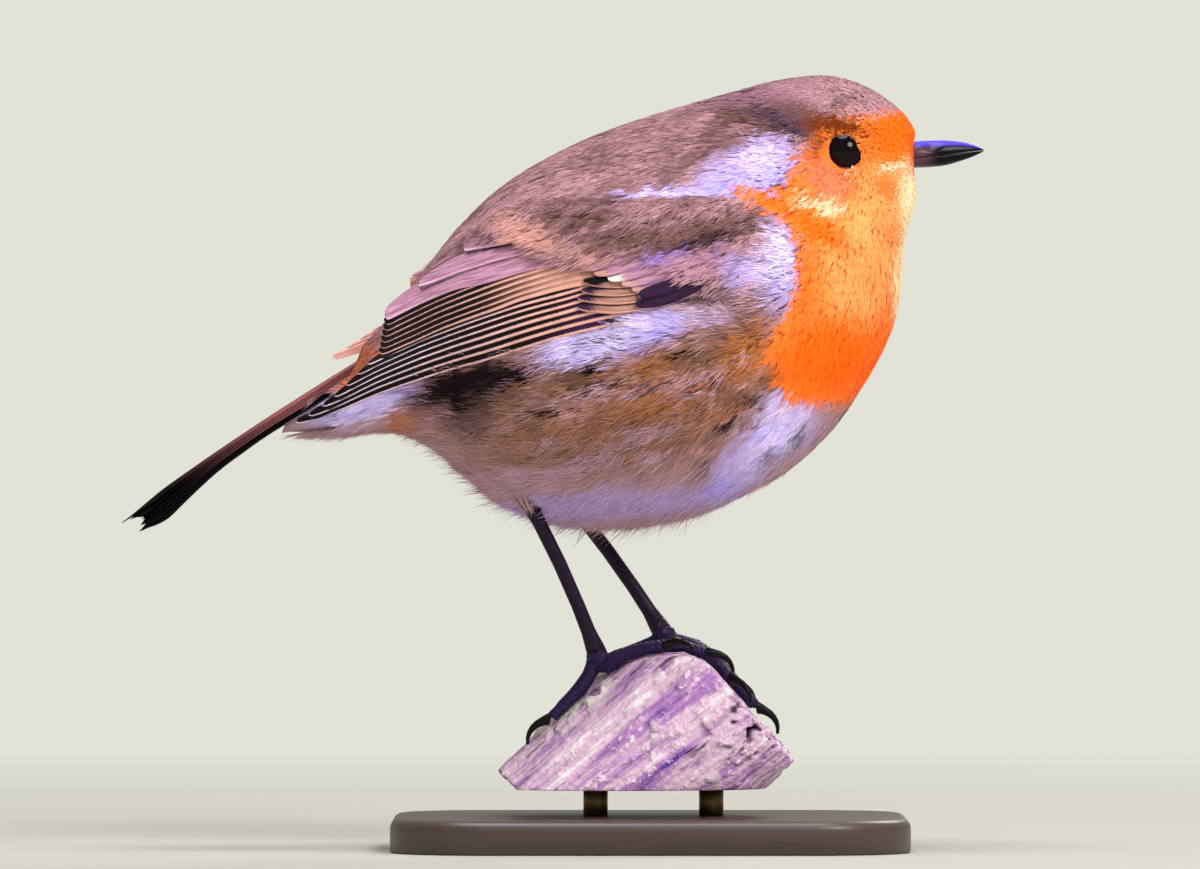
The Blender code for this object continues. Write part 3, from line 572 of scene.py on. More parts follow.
class RobinFlight(bpy.types.PropertyGroup):
    quill: colour("Quill", "Dark webs of the flight feathers", 12, 5, 9)
    fringe: colour("Fringe", "Pale edges of the flight feathers", 232, 172, 156)
    buff: colour("Buff", "Edges near the secondaries' ends", 222, 164, 154)
    silver: colour("Silver", "Edges near the wing's tip", 232, 206, 224)
    mauve: colour("Mauve", "Webs of tertials and coverts", 216, 158, 186)
    bistre: colour("Bistre", "Primary coverts", 200, 146, 130)
    cream: colour("Cream", "Tips of the middle greater coverts", 255, 244, 222)
    # A painted highlight on the tertials' edges towards their tips.
    blush: colour("Blush", "Edges of the tertials", 244, 190, 222)
    # A painted sheen along the greater coverts.
    violet: colour("Violet", "Gloss along the greater coverts", 150, 116, 198)
    plum: colour("Plum", "Small feather of the wing's bend", 54, 22, 62)
    rufous: colour("Rufous", "Base of the tail", 140, 84, 84)


class RobinBare(bpy.types.PropertyGroup):
    eye: colour("Eye", "The dark iris", 14, 6, 10)
    lid: colour("Lid", "Rim round the eye", 120, 70, 50)
    bill: colour("Bill", "Dark horn", 9, 5, 16)
    # A painted reflection of the sky along the bill's ridge.
    bloom: colour("Bloom", "Blue gloss along the bill's ridge", 86, 72, 224)
    gape: colour("Gape", "Base of the bill's sides", 96, 66, 76)
    leg: colour("Leg", "Shanks", 32, 12, 40)
    toe: colour("Toe", "Toes", 42, 24, 72)
    claw: colour("Claw", "Claws", 12, 6, 12)


class RobinPerch(bpy.types.PropertyGroup):
    wood: colour("Wood", "Weathered bare wood", 224, 190, 214)
    streak: colour("Streak", "Stained grain", 176, 124, 190)
    stain: colour("Stain", "Darkest stripes of the grain", 96, 66, 150)
    # Painted highlight on the wood's raised specks, and the pale of light grain streaks.
    bloom: colour("Bloom", "Bleached ridges and specks", 255, 242, 250)
    # Near-black painted into cracks and pits: painted shade inside them.
    crack: colour("Crack", "Cracks and pits", 24, 10, 28)
    lichen: colour("Lichen", "Crust on the bark", 228, 226, 216)
    base: colour("Base", "Stand's board", 58, 44, 38)
    rod: colour("Rod", "Stand's rods", 120, 96, 60)


class RobinStage(bpy.types.PropertyGroup):
    backdrop: colour("Backdrop", "Floor and surroundings", 226, 226, 214)
    ambient: amount("Ambient", "Share of the backdrop's light that falls on the bird", 0.5)
    floor_tone: amount("Floor tone", "Floor's colour against the backdrop's, to look alike once lit", 0.55)
    lens: amount("Lens", "Focal length in millimetres", 370.0)
    frame_width: amount("Frame width", "Width seen at the bird", 0.1764, unit="LENGTH")


PLUMAGE = FLIGHT = BARE = PERCH = STAGE = None


def read_settings():
    """Makes the scene's settings known to the makers."""
    global PLUMAGE, FLIGHT, BARE, PERCH, STAGE
    scene = bpy.context.scene
    PLUMAGE, FLIGHT, BARE = scene.robin_plumage, scene.robin_flight, scene.robin_bare
    PERCH, STAGE = scene.robin_perch, scene.robin_stage


# ---- material tools ----


class Nodes:
    """A short way to write a node tree."""

    def __init__(self, tree):
        self.tree = tree

    def add(self, kind, settings=None, **inputs):
        node = self.tree.nodes.new(kind)
        for key, value in (settings or {}).items():
            setattr(node, key, value)
        for key, value in inputs.items():
            self.feed(node, key.replace("_", " "), value)
        return node

    def feed(self, node, key, value):
        socket = node.inputs[int(key)] if key.isdigit() else node.inputs[key]
        if isinstance(value, bpy.types.NodeSocket):
            self.tree.links.new(value, socket)
        elif hasattr(socket.default_value, "__len__") and len(value) == 3 and len(socket.default_value) == 4:
            socket.default_value = (*value, 1.0)
        else:
            socket.default_value = value

    def value(self, name):
        return self.add("ShaderNodeAttribute", {"attribute_name": name}).outputs["Fac"]

    def math(self, operation, *values):
        node = self.tree.nodes.new("ShaderNodeMath")
        node.operation = operation
        for index, value in enumerate(values):
            self.feed(node, str(index), value)
        return node.outputs[0]

    def plus(self, first, second):
        return self.math("ADD", first, second)

    def minus(self, first, second):
        return self.math("SUBTRACT", first, second)

    def times(self, first, second):
        return self.math("MULTIPLY", first, second)

    def larger(self, first, second):
        return self.math("MAXIMUM", first, second)

    def mix(self, share, first, second, blend="MIX"):
        node = self.tree.nodes.new("ShaderNodeMix")
        node.data_type = "RGBA"
        node.blend_type = blend
        for socket, value in ((0, share), (6, first), (7, second)):
            if isinstance(value, bpy.types.NodeSocket):
                self.tree.links.new(value, node.inputs[socket])
            elif socket == 0:
                node.inputs[0].default_value = value
            else:
                node.inputs[socket].default_value = (*value[:3], 1.0)
        return node.outputs[2]

    def grey(self, light):
        return self.add("ShaderNodeCombineColor", Red=light, Green=light, Blue=light).outputs[0]

    def noise(self, vector, scale, detail=3.0, rough=0.55):
        node = self.add("ShaderNodeTexNoise", Scale=scale, Detail=detail, Roughness=rough)
        if vector is not None:
            self.tree.links.new(vector, node.inputs["Vector"])
        return node.outputs["Fac"]

    def ramp(self, value, low, high):
        node = self.add("ShaderNodeMapRange", {"interpolation_type": "SMOOTHSTEP"})
        self.feed(node, "Value", value)
        node.inputs["From Min"].default_value = low
        node.inputs["From Max"].default_value = high
        return node.outputs["Result"]

    def place(self):
        return self.add("ShaderNodeTexCoord").outputs["Object"]

    def stretched(self, vector, turn_y, scale):
        """Object coordinates turned about Y, then stretched along their X."""
        turned = self.add("ShaderNodeMapping", Rotation=(0.0, turn_y, 0.0), Vector=vector)
        return self.add("ShaderNodeMapping", Scale=scale, Vector=turned.outputs[0]).outputs[0]

    def bump(self, height, strength, distance):
        node = self.add("ShaderNodeBump", Strength=strength, Distance=distance, Height=height)
        return node.outputs["Normal"]


def new_material(name, **constants):
    """A material with its Principled shader set to constants, and the tools to link the rest."""
    material = bpy.data.materials.new(name)
    material.use_nodes = True
    tree = material.node_tree
    shader = tree.nodes["Principled BSDF"]
    for key, value in constants.items():
        shader.inputs[key.replace("_", " ")].default_value = value
    return material, Nodes(tree), shader


def new_group(name, inputs, outputs):
    """A shader node group with named sockets. inputs and outputs: name to (kind, default)."""
    tree = bpy.data.node_groups.new(name, "ShaderNodeTree")
    for key, (kind, default) in inputs.items():
        socket = tree.interface.new_socket(key, in_out="INPUT", socket_type=kind)
        if default is not None:
            socket.default_value = default
    for key, kind in outputs.items():
        tree.interface.new_socket(key, in_out="OUTPUT", socket_type=kind)
    nodes = Nodes(tree)
    entry = tree.nodes.new("NodeGroupInput")
    leave = tree.nodes.new("NodeGroupOutput")
    return tree, nodes, entry.outputs, leave


def use_group(nodes, tree, **values):
    node = nodes.tree.nodes.new("ShaderNodeGroup")
    node.node_tree = tree
    for key, value in values.items():
        nodes.feed(node, key.replace("_", " "), value)
    return node


COLOUR, FLOAT, VECTOR = "NodeSocketColor", "NodeSocketFloat", "NodeSocketVector"


BODY_SHADES = ("brown", "umber", "soot", "mauve", "belly", "flank", "amber", "tan", "rufous", "lilac")
BODY_SHADES += ("violet", "dusk", "orange", "rust", "apricot", "cream", "coral", "flame", "frost")
LAYERS = (  # each mark, its shade and how strongly it covers, from the first laid to the last
    ("umber", "umber", 0.95), ("mauve", "mauve", 0.65), ("belly", "belly", 0.95), ("flank", "flank", 0.85),
    ("amber", "amber", 0.75), ("tan", "tan", 0.8), ("rufous", "rufous", 0.9), ("lilac", "lilac", 0.95),
    ("violet", "violet", 0.9), ("dusk", "dusk", 0.85), ("bib", "orange", 1.0), ("rust", "rust", 1.0),
)


def plumage_group():
    """Body colour from the markings: each mark lays its colour over the ones before."""
    existing = bpy.data.node_groups.get("plumage_markings")
    if existing:
        return existing
    inputs = {shade.title(): (COLOUR, None) for shade in BODY_SHADES}
    inputs["Chance"] = (FLOAT, 0.5)
    inputs["Along"] = (FLOAT, 0.5)
    inputs["Dark"] = (FLOAT, 0.0)
    tree, nodes, given, leave = new_group("plumage_markings", inputs, {"Color": COLOUR, "Height": FLOAT})
    # The lower a barb's chance, the more it turns from brown to umber, the colour of shaded barbs, and the
    # darker it is made further on. This is random tone and, since chance follows the locks, painted light on
    # raised tufts and painted shade on low ones.
    brown_share = nodes.ramp(given["Chance"], 0.05, 0.6)
    bright = nodes.ramp(given["Chance"], 0.45, 0.85)
    shade = nodes.mix(brown_share, given["Umber"], given["Brown"])
    for mark, name, strength in LAYERS:
        share = nodes.times(nodes.value(mark), strength)
        over = given[name.title()]
        if mark == "lilac":
            strands = nodes.plus(0.3, nodes.times(bright, 0.7))
            over = nodes.mix(nodes.times(nodes.value("frost"), strands), over, given["Frost"])
        if mark == "bib":
            over = nodes.mix(nodes.times(nodes.value("pale"), 0.7), over, given["Apricot"])
            over = nodes.mix(nodes.value("rose"), over, given["Coral"])
            over = nodes.mix(nodes.times(nodes.value("deep"), 0.85), over, given["Flame"])
            over = nodes.mix(nodes.value("cream"), over, given["Cream"])
        shade = nodes.mix(share, shade, over)
    grain = nodes.noise(nodes.place(), 260.0, 2.0)
    lively = nodes.times(nodes.plus(given["Chance"], nodes.times(grain, 0.5)), 0.34)
    light = nodes.plus(0.67, lively)
    # Barbs are painted darker towards their roots, less so on the bib: painted shade where they lie covered.
    tip = nodes.ramp(given["Along"], 0.0, 0.6)
    root = nodes.plus(0.52, nodes.times(nodes.value("bib"), 0.36))
    shaded = nodes.plus(root, nodes.times(tip, nodes.minus(1.0, root)))
    light = nodes.times(light, shaded)
    grey = nodes.grey(light)
    shade = nodes.mix(1.0, shade, grey, "MULTIPLY")
    # Near-black from the dark barbs and from two marks that are mostly painted shade: under the wing, under
    # the scapulars, between locks and at the vent.
    shade_marks = nodes.larger(nodes.value("soot"), nodes.times(nodes.value("vent"), 0.75))
    sooty = nodes.larger(nodes.times(given["Dark"], 0.9), shade_marks)
    shade = nodes.mix(sooty, shade, given["Soot"])
    nodes.feed(leave, "Color", shade)
    nodes.feed(leave, "Height", grain)
    return tree


def plumage_material(name, along, chance, dark):
    """Body plumage. along, chance and dark name the attributes that vary it, or give one number."""
    material, nodes, shader = new_material(
        name, Roughness=0.85, Specular_IOR_Level=0.1, Emission_Strength=0.17
    )
    reading = [nodes.value(v) if isinstance(v, str) else v for v in (along, chance, dark)]
    shades = {name.title(): getattr(PLUMAGE, name) for name in BODY_SHADES}
    group = use_group(nodes, plumage_group(), Along=reading[0], Chance=reading[1], Dark=reading[2], **shades)
    nodes.feed(shader, "Base Color", group.outputs["Color"])
    nodes.feed(shader, "Emission Color", group.outputs["Color"])  # the coat glows faintly in its own colour: a painted glow that stands for light passing through the thin barbs and lifts the shade between them
    nodes.feed(shader, "Normal", nodes.bump(group.outputs["Height"], 0.25, 0.0003))
    return material


# ---- skin ----


@cache
def body_form():
    return Form(coat_depth_at)


def make_skin():
    """One closed skin in place of the flesh nodes, with the coat's markings on it."""
    form = body_form()
    points, faces = closed_form(form.skin[::2])
    skin = new_piece("skin", points, faces, plumage_material("skin_feather", 0.4, 0.4, 0.04))
    shares, _ = markings(points[:, 0], points[:, 2])
    for mark in MARKS:
        set_values(skin.data, mark, shares[mark])
    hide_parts(*FLESH)


# ---- coat ----


# How the tufts of one part of the coat grow:
# length, a number or a function of the place; blades, the barbs in a tuft; width, against the settings' barb
# width; splay, how far a tuft's barbs fan out; uneven, how much lower than the coat's outer face its lowest
# barbs lie; flick, how far tips stand off; wander, how much one tuft turns from the next; lock, how much
# tufts gather into locks.
Lie = namedtuple("Lie", "length blades width splay uneven flick wander lock")


def patchwork(along, around, steps_along, steps_round, seed):
    """A smooth random value from 0 to 1 for each place, in patches that many steps long and wide."""
    values = np.random.default_rng(seed).random((steps_along + 2, steps_round))
    row = np.clip(along, 0, 1) * steps_along
    column = (around % 1.0) * steps_round
    low, left = row.astype(int), column.astype(int) % steps_round
    right = (left + 1) % steps_round
    up, over = row - low, column - column.astype(int)
    near = values[low, left] * (1 - over) + values[low, right] * over
    far = values[low + 1, left] * (1 - over) + values[low + 1, right] * over
    return near * (1 - up) + far * up


@cache
def eye_place():
    """The right eye's centre and radius, in body millimetres."""
    low, high = box_mm("eye_right")
    return (low + high) / 2, (high[2] - low[2]) / 2


LID_SIZES = (2.76, 2.36)  # half sizes of the opening between the lids
LID_SLANT = -14.0


def eye_gap(x, z):
    """How many lid openings a point lies from the eye's middle, in side view: 1 is the lid's edge."""
    centre, _ = eye_place()
    angle = math.radians(LID_SLANT)
    dx, dz = x - centre[0], z - centre[2]
    across = (dx * math.cos(angle) + dz * math.sin(angle)) / LID_SIZES[0]
    up = (dz * math.cos(angle) - dx * math.sin(angle)) / LID_SIZES[1]
    return np.hypot(across, up)


def pick_roots(form, count, density, rng):
    """Places for tufts, spread by area and by the density at each point."""
    x, y, z = (form.outer[:-1, :, i] for i in range(3))
    weight = form.cell_areas() * density(x, y, z)
    chances = np.cumsum(weight.ravel())
    picks = np.searchsorted(chances, (np.arange(count) + rng.random(count)) / count * chances[-1])
    row, column = np.divmod(picks, form.COLUMNS)
    along = (row + rng.random(count)) / (form.ROWS - 1)
    around = (column + rng.random(count)) / form.COLUMNS
    return along, around


def lie_direction(form, along, around, lie, rng):
    """Each tuft's root, the direction out of the body and its heading."""
    root = form.read(form.outer, along, around)
    tailward = form.read(form.tailward, along, around)
    normal = unit(form.read(form.normal, along, around))
    centre, _ = eye_place()
    x, y, z = root.T
    middle = np.tile(centre, (len(root), 1))
    middle[:, 1] = np.sign(y) * abs(centre[1])
    near = np.exp(-(np.maximum(eye_gap(x, z) - 0.9, 0) ** 2) * 2.2) * (x > 18)
    heading = tailward + unit(root - middle) * (near * 1.5)[:, None]
    heading[:, 2] -= droop(x, z)
    side_on = np.abs(y) > 5
    for place, sizes, turn, strength in SWEEPS:
        share = spot(x, z, place, sizes, 0, 0.3) * strength * side_on
        aim = np.array([math.cos(math.radians(turn)), 0.0, math.sin(math.radians(turn))])
        heading = unit(heading) * (1 - share)[:, None] + aim * share[:, None]
    heading = unit(heading - normal * (heading * normal).sum(-1, keepdims=True))
    sideways = np.cross(normal, heading)
    gather = (patchwork(along, around, 34, 52, 3) - 0.5) * 2 * lie.lock
    turn = (rng.normal(0, lie.wander, len(root)) + gather)[:, None]
    return root, normal, unit(heading + sideways * turn)


SWEEPS = (  # where the plumage is swept another way than tailward: place, sizes, heading, strength
    ((18.5, 57.0), (5.0, 8.0), 186.0, 0.9),
    ((10.0, 48.5), (12.0, 4.0), 172.0, 0.8),
    ((-6.0, 44.5), (14.0, 4.0), 190.0, 0.8),
    ((-5.0, 36.0), (24.0, 9.0), 194.0, 0.7),
    ((2.0, 62.0), (18.0, 5.0), 212.0, 0.7),
    ((-16.0, 60.0), (8.0, 4.0), 206.0, 0.7),
)


def droop(x, z):
    """How far the feathers' lie is turned down from the body's length: most at the shoulder."""
    return 0.4 * spot(x, z, (3.0, 62.0), (14.0, 5.0), 0, 0.2)


def make_tufts(name, count, density, lie, seed, raise_by=None):
    """One coat piece: tufts of tapered barbs that follow the skin."""
    form = body_form()
    rng = np.random.default_rng(seed)
    count = max(60, int(count * PLUMAGE.fullness))
    along, around = pick_roots(form, count, density, rng)
    root, normal, heading = lie_direction(form, along, around, lie, rng)
    x, y, z = root.T
    length = lie.length(x, y, z) if callable(lie.length) else np.full(count, float(lie.length))
    seen = root + heading * (length * SEEN_AT)[:, None]
    shares, dark = markings(seen[:, 0], seen[:, 2], rng)
    # The lock raises some tufts and lowers others, and chance and dark follow it. Raised tufts are painted
    # lighter and low ones darker, a painted light and shade over their random tone.
    lock = patchwork(along, around, 40, 70, 4)
    tuft = {
        "along": along,
        "around": around,
        "heading": heading,
        "normal": normal,
        "length": length * rng.uniform(0.75, 1.2, count),
        "depth": form.read(form.depth, along, around),
        "extra": raise_by(x, y, z) if raise_by else np.zeros(count),
        "chance": 0.55 * rng.random(count) + 0.45 * lock,
        "level": 0.4 * rng.random(count) + 0.6 * (0.4 * lock + 0.6 * streaks(x, z, 14, 7.0, 1.1, 21)),
        "dark": dark * (1.4 - lock),
    }
    blades = lie.blades
    many = {key: np.repeat(value, blades, axis=0) for key, value in tuft.items()}
    total = count * blades
    fan = np.tile(np.linspace(-1, 1, blades), count) + rng.normal(0, 0.25, total)
    sideways = np.cross(many["normal"], many["heading"])
    heading = unit(many["heading"] + sideways * (fan * lie.splay)[:, None])
    length = many["length"] * rng.uniform(0.75, 1.08, total) * (1 - 0.16 * fan**2)
    level = 1 - lie.uneven * (1 - 0.65 * many["level"] - 0.35 * rng.random(total))
    curl = -0.5 * lie.splay * fan + rng.normal(0, 0.05, total)
    flick = np.abs(rng.normal(0, lie.flick, total))
    start_shift = fan * 0.12 + rng.normal(0, 0.08, total)
    width = PLUMAGE.barb_width / MM * lie.width * rng.uniform(0.7, 1.3, total)

    stretch_along = form.read(form.along_stretch, many["along"], many["around"])
    stretch_round = form.read(form.round_stretch, many["along"], many["around"])
    tailward = form.read(form.tailward, many["along"], many["around"])
    roundward = form.read(form.sideways, many["along"], many["around"])
    rows, outs = [], []
    for stop in BARB_STOPS:
        travel = length * stop
        bent = unit(heading + sideways * (curl * stop)[:, None])
        go_along = (bent * tailward).sum(-1) * travel / stretch_along
        go_round = (bent * roundward).sum(-1) * travel / stretch_round * form.roundward
        place_along = many["along"] + go_along
        place_round = many["around"] + go_round + start_shift * (1 - stop) / stretch_round
        skin = form.read(form.skin, place_along, place_round)
        out = unit(form.read(form.normal, place_along, place_round))
        past = np.maximum(place_along - 1.0, 0) * stretch_along
        rise = many["depth"] * level * (1 - (1 - stop) ** 2) + flick * stop**2
        rise = rise + many["extra"] * min(1, stop * 1.6)
        rows.append(skin + out * rise[:, None] + bent * past[:, None])
        outs.append(out)
    many["fan"] = fan
    return barb_piece(name, rows, outs, width, many, shares, blades, rng)


SEEN_AT = 0.6  # the share of a tuft's length where it shows most
BARB_STOPS = (0.0, 0.36, 0.72, 1.0)
BARB_TAPERS = (0.75, 1.0, 0.62)


def barb_piece(name, rows, outs, width, many, shares, blades, rng):
    """A mesh of barbs, each two quads and a tip, with the bake map and the values its material reads."""
    total = len(width)
    ahead = unit(rows[-1] - rows[0])
    twist = rng.normal(0, 0.14, total)[:, None]
    points = np.empty((total, 7, 3))
    facing = np.empty((total, 7, 3))
    for index, taper in enumerate(BARB_TAPERS):
        across = unit(np.cross(outs[index], ahead))
        across = unit(across + outs[index] * twist)
        half = (width * taper / 2)[:, None]
        points[:, index * 2] = rows[index] - across * half
        points[:, index * 2 + 1] = rows[index] + across * half
        facing[:, index * 2] = outs[index] - across * BARB_ROUNDNESS
        facing[:, index * 2 + 1] = outs[index] + across * BARB_ROUNDNESS
    points[:, 6] = rows[3]
    facing[:, 6] = outs[2]
    corner = np.array([1, 0, 2, 3, 3, 2, 4, 5, 5, 4, 6])
    loops = (np.arange(total)[:, None] * 7 + corner[None]).ravel()
    starts = (np.arange(total)[:, None] * 11 + np.array([0, 4, 8])[None]).ravel()
    mesh = bpy.data.meshes.new(name)
    mesh.vertices.add(total * 7)
    mesh.loops.add(total * 11)
    mesh.polygons.add(total * 3)
    placed = (points + LIFT) * MM
    mesh.vertices.foreach_set("co", placed.ravel())
    mesh.loops.foreach_set("vertex_index", loops)
    mesh.polygons.foreach_set("loop_start", starts)
    mesh.update(calc_edges=True)
    step = np.array([0, 0, BARB_STOPS[1], BARB_STOPS[1], BARB_STOPS[2], BARB_STOPS[2], 1.0])
    side = np.array([0, 1, 0, 1, 0, 1, 0.5])
    u = many["along"][:, None] + (step[None] - 0.5) * BAKE_PATCH
    v = (many["around"] % 1.0)[:, None] + (side[None] - 0.5) * BAKE_PATCH
    spread = np.stack([np.clip(u, 0, 1), np.clip(v, 0, 1)], -1).reshape(-1, 2)
    layer = mesh.uv_layers.new(name="OFBake")
    layer.data.foreach_set("uv", spread[loops].ravel())
    set_values(mesh, "along", np.tile(step, total))
    # Barbs at a tuft's two edges get less chance and so are painted darker: painted shade between tufts.
    chance = 0.65 * many["chance"] + 0.35 * rng.random(total) - 0.12 * np.abs(many["fan"]) + 0.06
    set_values(mesh, "chance", np.repeat(np.clip(chance, 0, 1), 7))
    sooty = (rng.random(total) < many["dark"] * 0.4) * rng.uniform(0.3, 0.8, total)
    set_values(mesh, "dark", np.repeat(sooty, 7))
    for mark in MARKS:
        set_values(mesh, mark, np.repeat(np.repeat(shares[mark], blades), 7))
    material = bpy.data.materials.get("coat_feather")
    material = material or plumage_material("coat_feather", "along", "chance", "dark")
    piece = finish_piece(name, mesh, material)
    mesh.normals_split_custom_set_from_vertices(unit(facing).reshape(-1, 3))
    return piece


BAKE_PATCH = 0.003
BARB_ROUNDNESS = 0.3  # how far a barb's light turns from one side of it to the other


WING_COVER = (  # where the folded wing shows, in side view: scapulars, coverts, lower edge, tip, tertials
    (-22.0, 62.3), (-19.1, 61.3), (-15.4, 58.8), (-11.0, 56.9), (-9.9, 56.4), (-5.9, 57.2), (-1.5, 58.0),
    (1.2, 58.3), (3.5, 56.9), (6.2, 55.3), (8.6, 54.3), (8.4, 52.8), (5.9, 51.0), (0.7, 49.6),
    (-1.5, 48.7), (-7.4, 47.2), (-19.1, 44.0), (-30.9, 41.0), (-36.8, 39.2), (-44.1, 36.4), (-51.7, 33.4),
    (-45.6, 38.8), (-40.0, 44.4), (-38.5, 48.8), (-36.8, 51.0), (-30.9, 55.9), (-27.9, 57.9),
    (-25.0, 60.6),
)


def wing_share(x, y, z):
    """1 where the folded wing shows, on either side."""
    right = inside(WING_COVER, x, z, 0.5)
    left = inside(carried(WING_COVER, "left"), x, z, 0.5)
    return np.where(y < 0, right, left) * (np.abs(y) > 4)


def bare_places(x, y, z):
    """1 where feathers grow, 0 on the eye and under the wing."""
    grows = ease(eye_gap(x, z), 1.02, 1.12)
    grows = np.where(x > 18, grows, 1.0)
    return grows * (1 - wing_share(x, y, z))


SCAPULARS = (  # the bulge of feathers that lies over the wing's upper part
    (17.0, 66.5), (4.0, 67.0), (-10.0, 67.0), (-20.0, 65.5), (-25.5, 62.0), (-22.0, 61.0), (-15.4, 58.0),
    (-8.0, 55.6), (-1.5, 57.0), (3.0, 55.8), (8.5, 53.0), (14.0, 53.5), (17.0, 57.0),
)


def over_wing(x, y, z):
    """How much higher than the coat's own depth the scapulars stand, to lie over the wing."""
    return 2.7 * inside(SCAPULARS, x, z, 2.0) * (np.abs(y) > 6)


def head_share(x, z):
    return ease(x * 0.82 + z * 0.57, 62.0, 66.0)


def make_face():
    def density(x, y, z):
        close = 1 + 1.6 * ease(x, 31, 38) + 2.2 * (1 - ease(eye_gap(x, z), 1.1, 1.6))
        return head_share(x, z) * ease(x, 22.0, 27.0) * bare_places(x, y, z) * close

    def length(x, y, z):
        shortest = 0.8 + 1.1 * np.clip((39.0 - x) / 14.0, 0, 1)
        return shortest * (0.5 + 0.5 * ease(eye_gap(x, z), 1.0, 2.2))

    lie = Lie(length, 5, 0.7, 0.3, 0.22, 0.03, 0.1, 0.14)
    make_tufts("coat_face_front", 6000, density, lie, 11)
    make_tufts("coat_face_back", 5600, density, lie, 12)


def make_head_back():
    def density(x, y, z):
        return head_share(x, z) * (1 - ease(x, 24.0, 29.0)) * bare_places(x, y, z)

    lie = Lie(lambda x, y, z: 2.1 + 1.4 * np.clip((30 - x) / 16, 0, 1), 5, 0.8, 0.18, 0.3, 0.04, 0.05, 0.14)
    make_tufts("coat_crown", 5400, density, lie, 21)


def over_wrist(x, y, z):
    """The breast's side feathers stand off where they lie over the wing's bend."""
    return 2.3 * spot(x, z, (17.0, 56.0), (4.5, 8.0), 0, 0.4) * (np.abs(y) > 6)


def make_breast():
    def density(x, y, z):
        return (1 - head_share(x, z)) * ease(x, 14.0, 17.5) * bare_places(x, y, z)

    def length(x, y, z):
        return 3.0 + 0.9 * ease(-z, -52, -36) + 3.2 * spot(x, z, (17.5, 56.0), (4.5, 8.0))

    lie = Lie(length, 6, 1.0, 0.2, 0.2, 0.05, 0.1, 0.2)
    make_tufts("coat_breast_upper", 5000, density, lie, 31, over_wrist)
    make_tufts("coat_breast_lower", 4900, density, lie, 32, over_wrist)


def make_back():
    def density(x, y, z):
        top = ease(z + 0.25 * x, 52.0, 56.0)
        return (1 - head_share(x, z)) * (1 - ease(x, 15.0, 18.5)) * top * bare_places(x, y, z)

    lie = Lie(4.6, 6, 0.95, 0.15, 0.32, 0.05, 0.05, 0.18)
    make_tufts("coat_mantle", 4250, density, lie, 41, raise_by=over_wing)
    make_tufts("coat_back", 4250, density, lie, 42, raise_by=over_wing)


def flank_share(x, y, z):
    low = 1 - ease(z + 0.25 * x, 52.0, 56.0)
    return (1 - head_share(x, z)) * (1 - ease(x, 15.0, 18.5)) * low * bare_places(x, y, z)


def over_edge(x, y, z):
    """The upper flank's feathers stand off where they lie over the wing's lower edge."""
    return 1.2 * spot(x, z, (7.0, 49.0), (8.0, 3.5), 10, 0.4) * (np.abs(y) > 6)


def make_flanks():
    lie = Lie(lambda x, y, z: 5.0 + 1.5 * ease(-x, 0, 20), 6, 1.0, 0.2, 0.5, 0.35, 0.14, 0.42)
    for index, (side, sign) in enumerate(SIDES):

        def density(x, y, z, sign=sign):
            return flank_share(x, y, z) * (y * sign > 3) * ease(z, 24.0, 30.0) * ease(x, -34.0, -30.0)

        make_tufts(f"coat_flank_{side}", 4350, density, lie, 51 + index, raise_by=over_edge)


def make_belly():
    def density(x, y, z):
        low = 1 - ease(z, 24.0, 30.0)
        here = np.maximum(low, flank_share(x, y, z) * (np.abs(y) <= 3)) * (z < 40)
        return (1 - head_share(x, z)) * here * ease(x, -50.0, -46.5)

    lie = Lie(5.4, 6, 1.0, 0.24, 0.5, 0.35, 0.16, 0.4)
    make_tufts("coat_belly", 4300, density, lie, 61)


def make_rump():
    def density(x, y, z):
        return (1 - ease(x, -32.0, -28.0)) * ease(x, -46.5, -43.0)

    lie = Lie(lambda x, y, z: 4.6 - 2.2 * ease(-x, 38, 46), 6, 0.95, 0.12, 0.35, 0.0, 0.05, 0.1)
    make_tufts("coat_rump", 3400, density, lie, 71)


def make_wisps():
    """Loose long barbs that break the outline of belly, vent and flank."""

    def density(x, y, z):
        low = 1 - ease(z, 26.0, 44.0)
        return low * (1 - ease(x, 6.0, 14.0)) * ease(x, -36.0, -30.0) * (1 - head_share(x, z))

    lie = Lie(6.2, 4, 0.7, 0.22, 0.3, 1.3, 0.3, 0.7)
    make_tufts("coat_wisps", 1300, density, lie, 81)


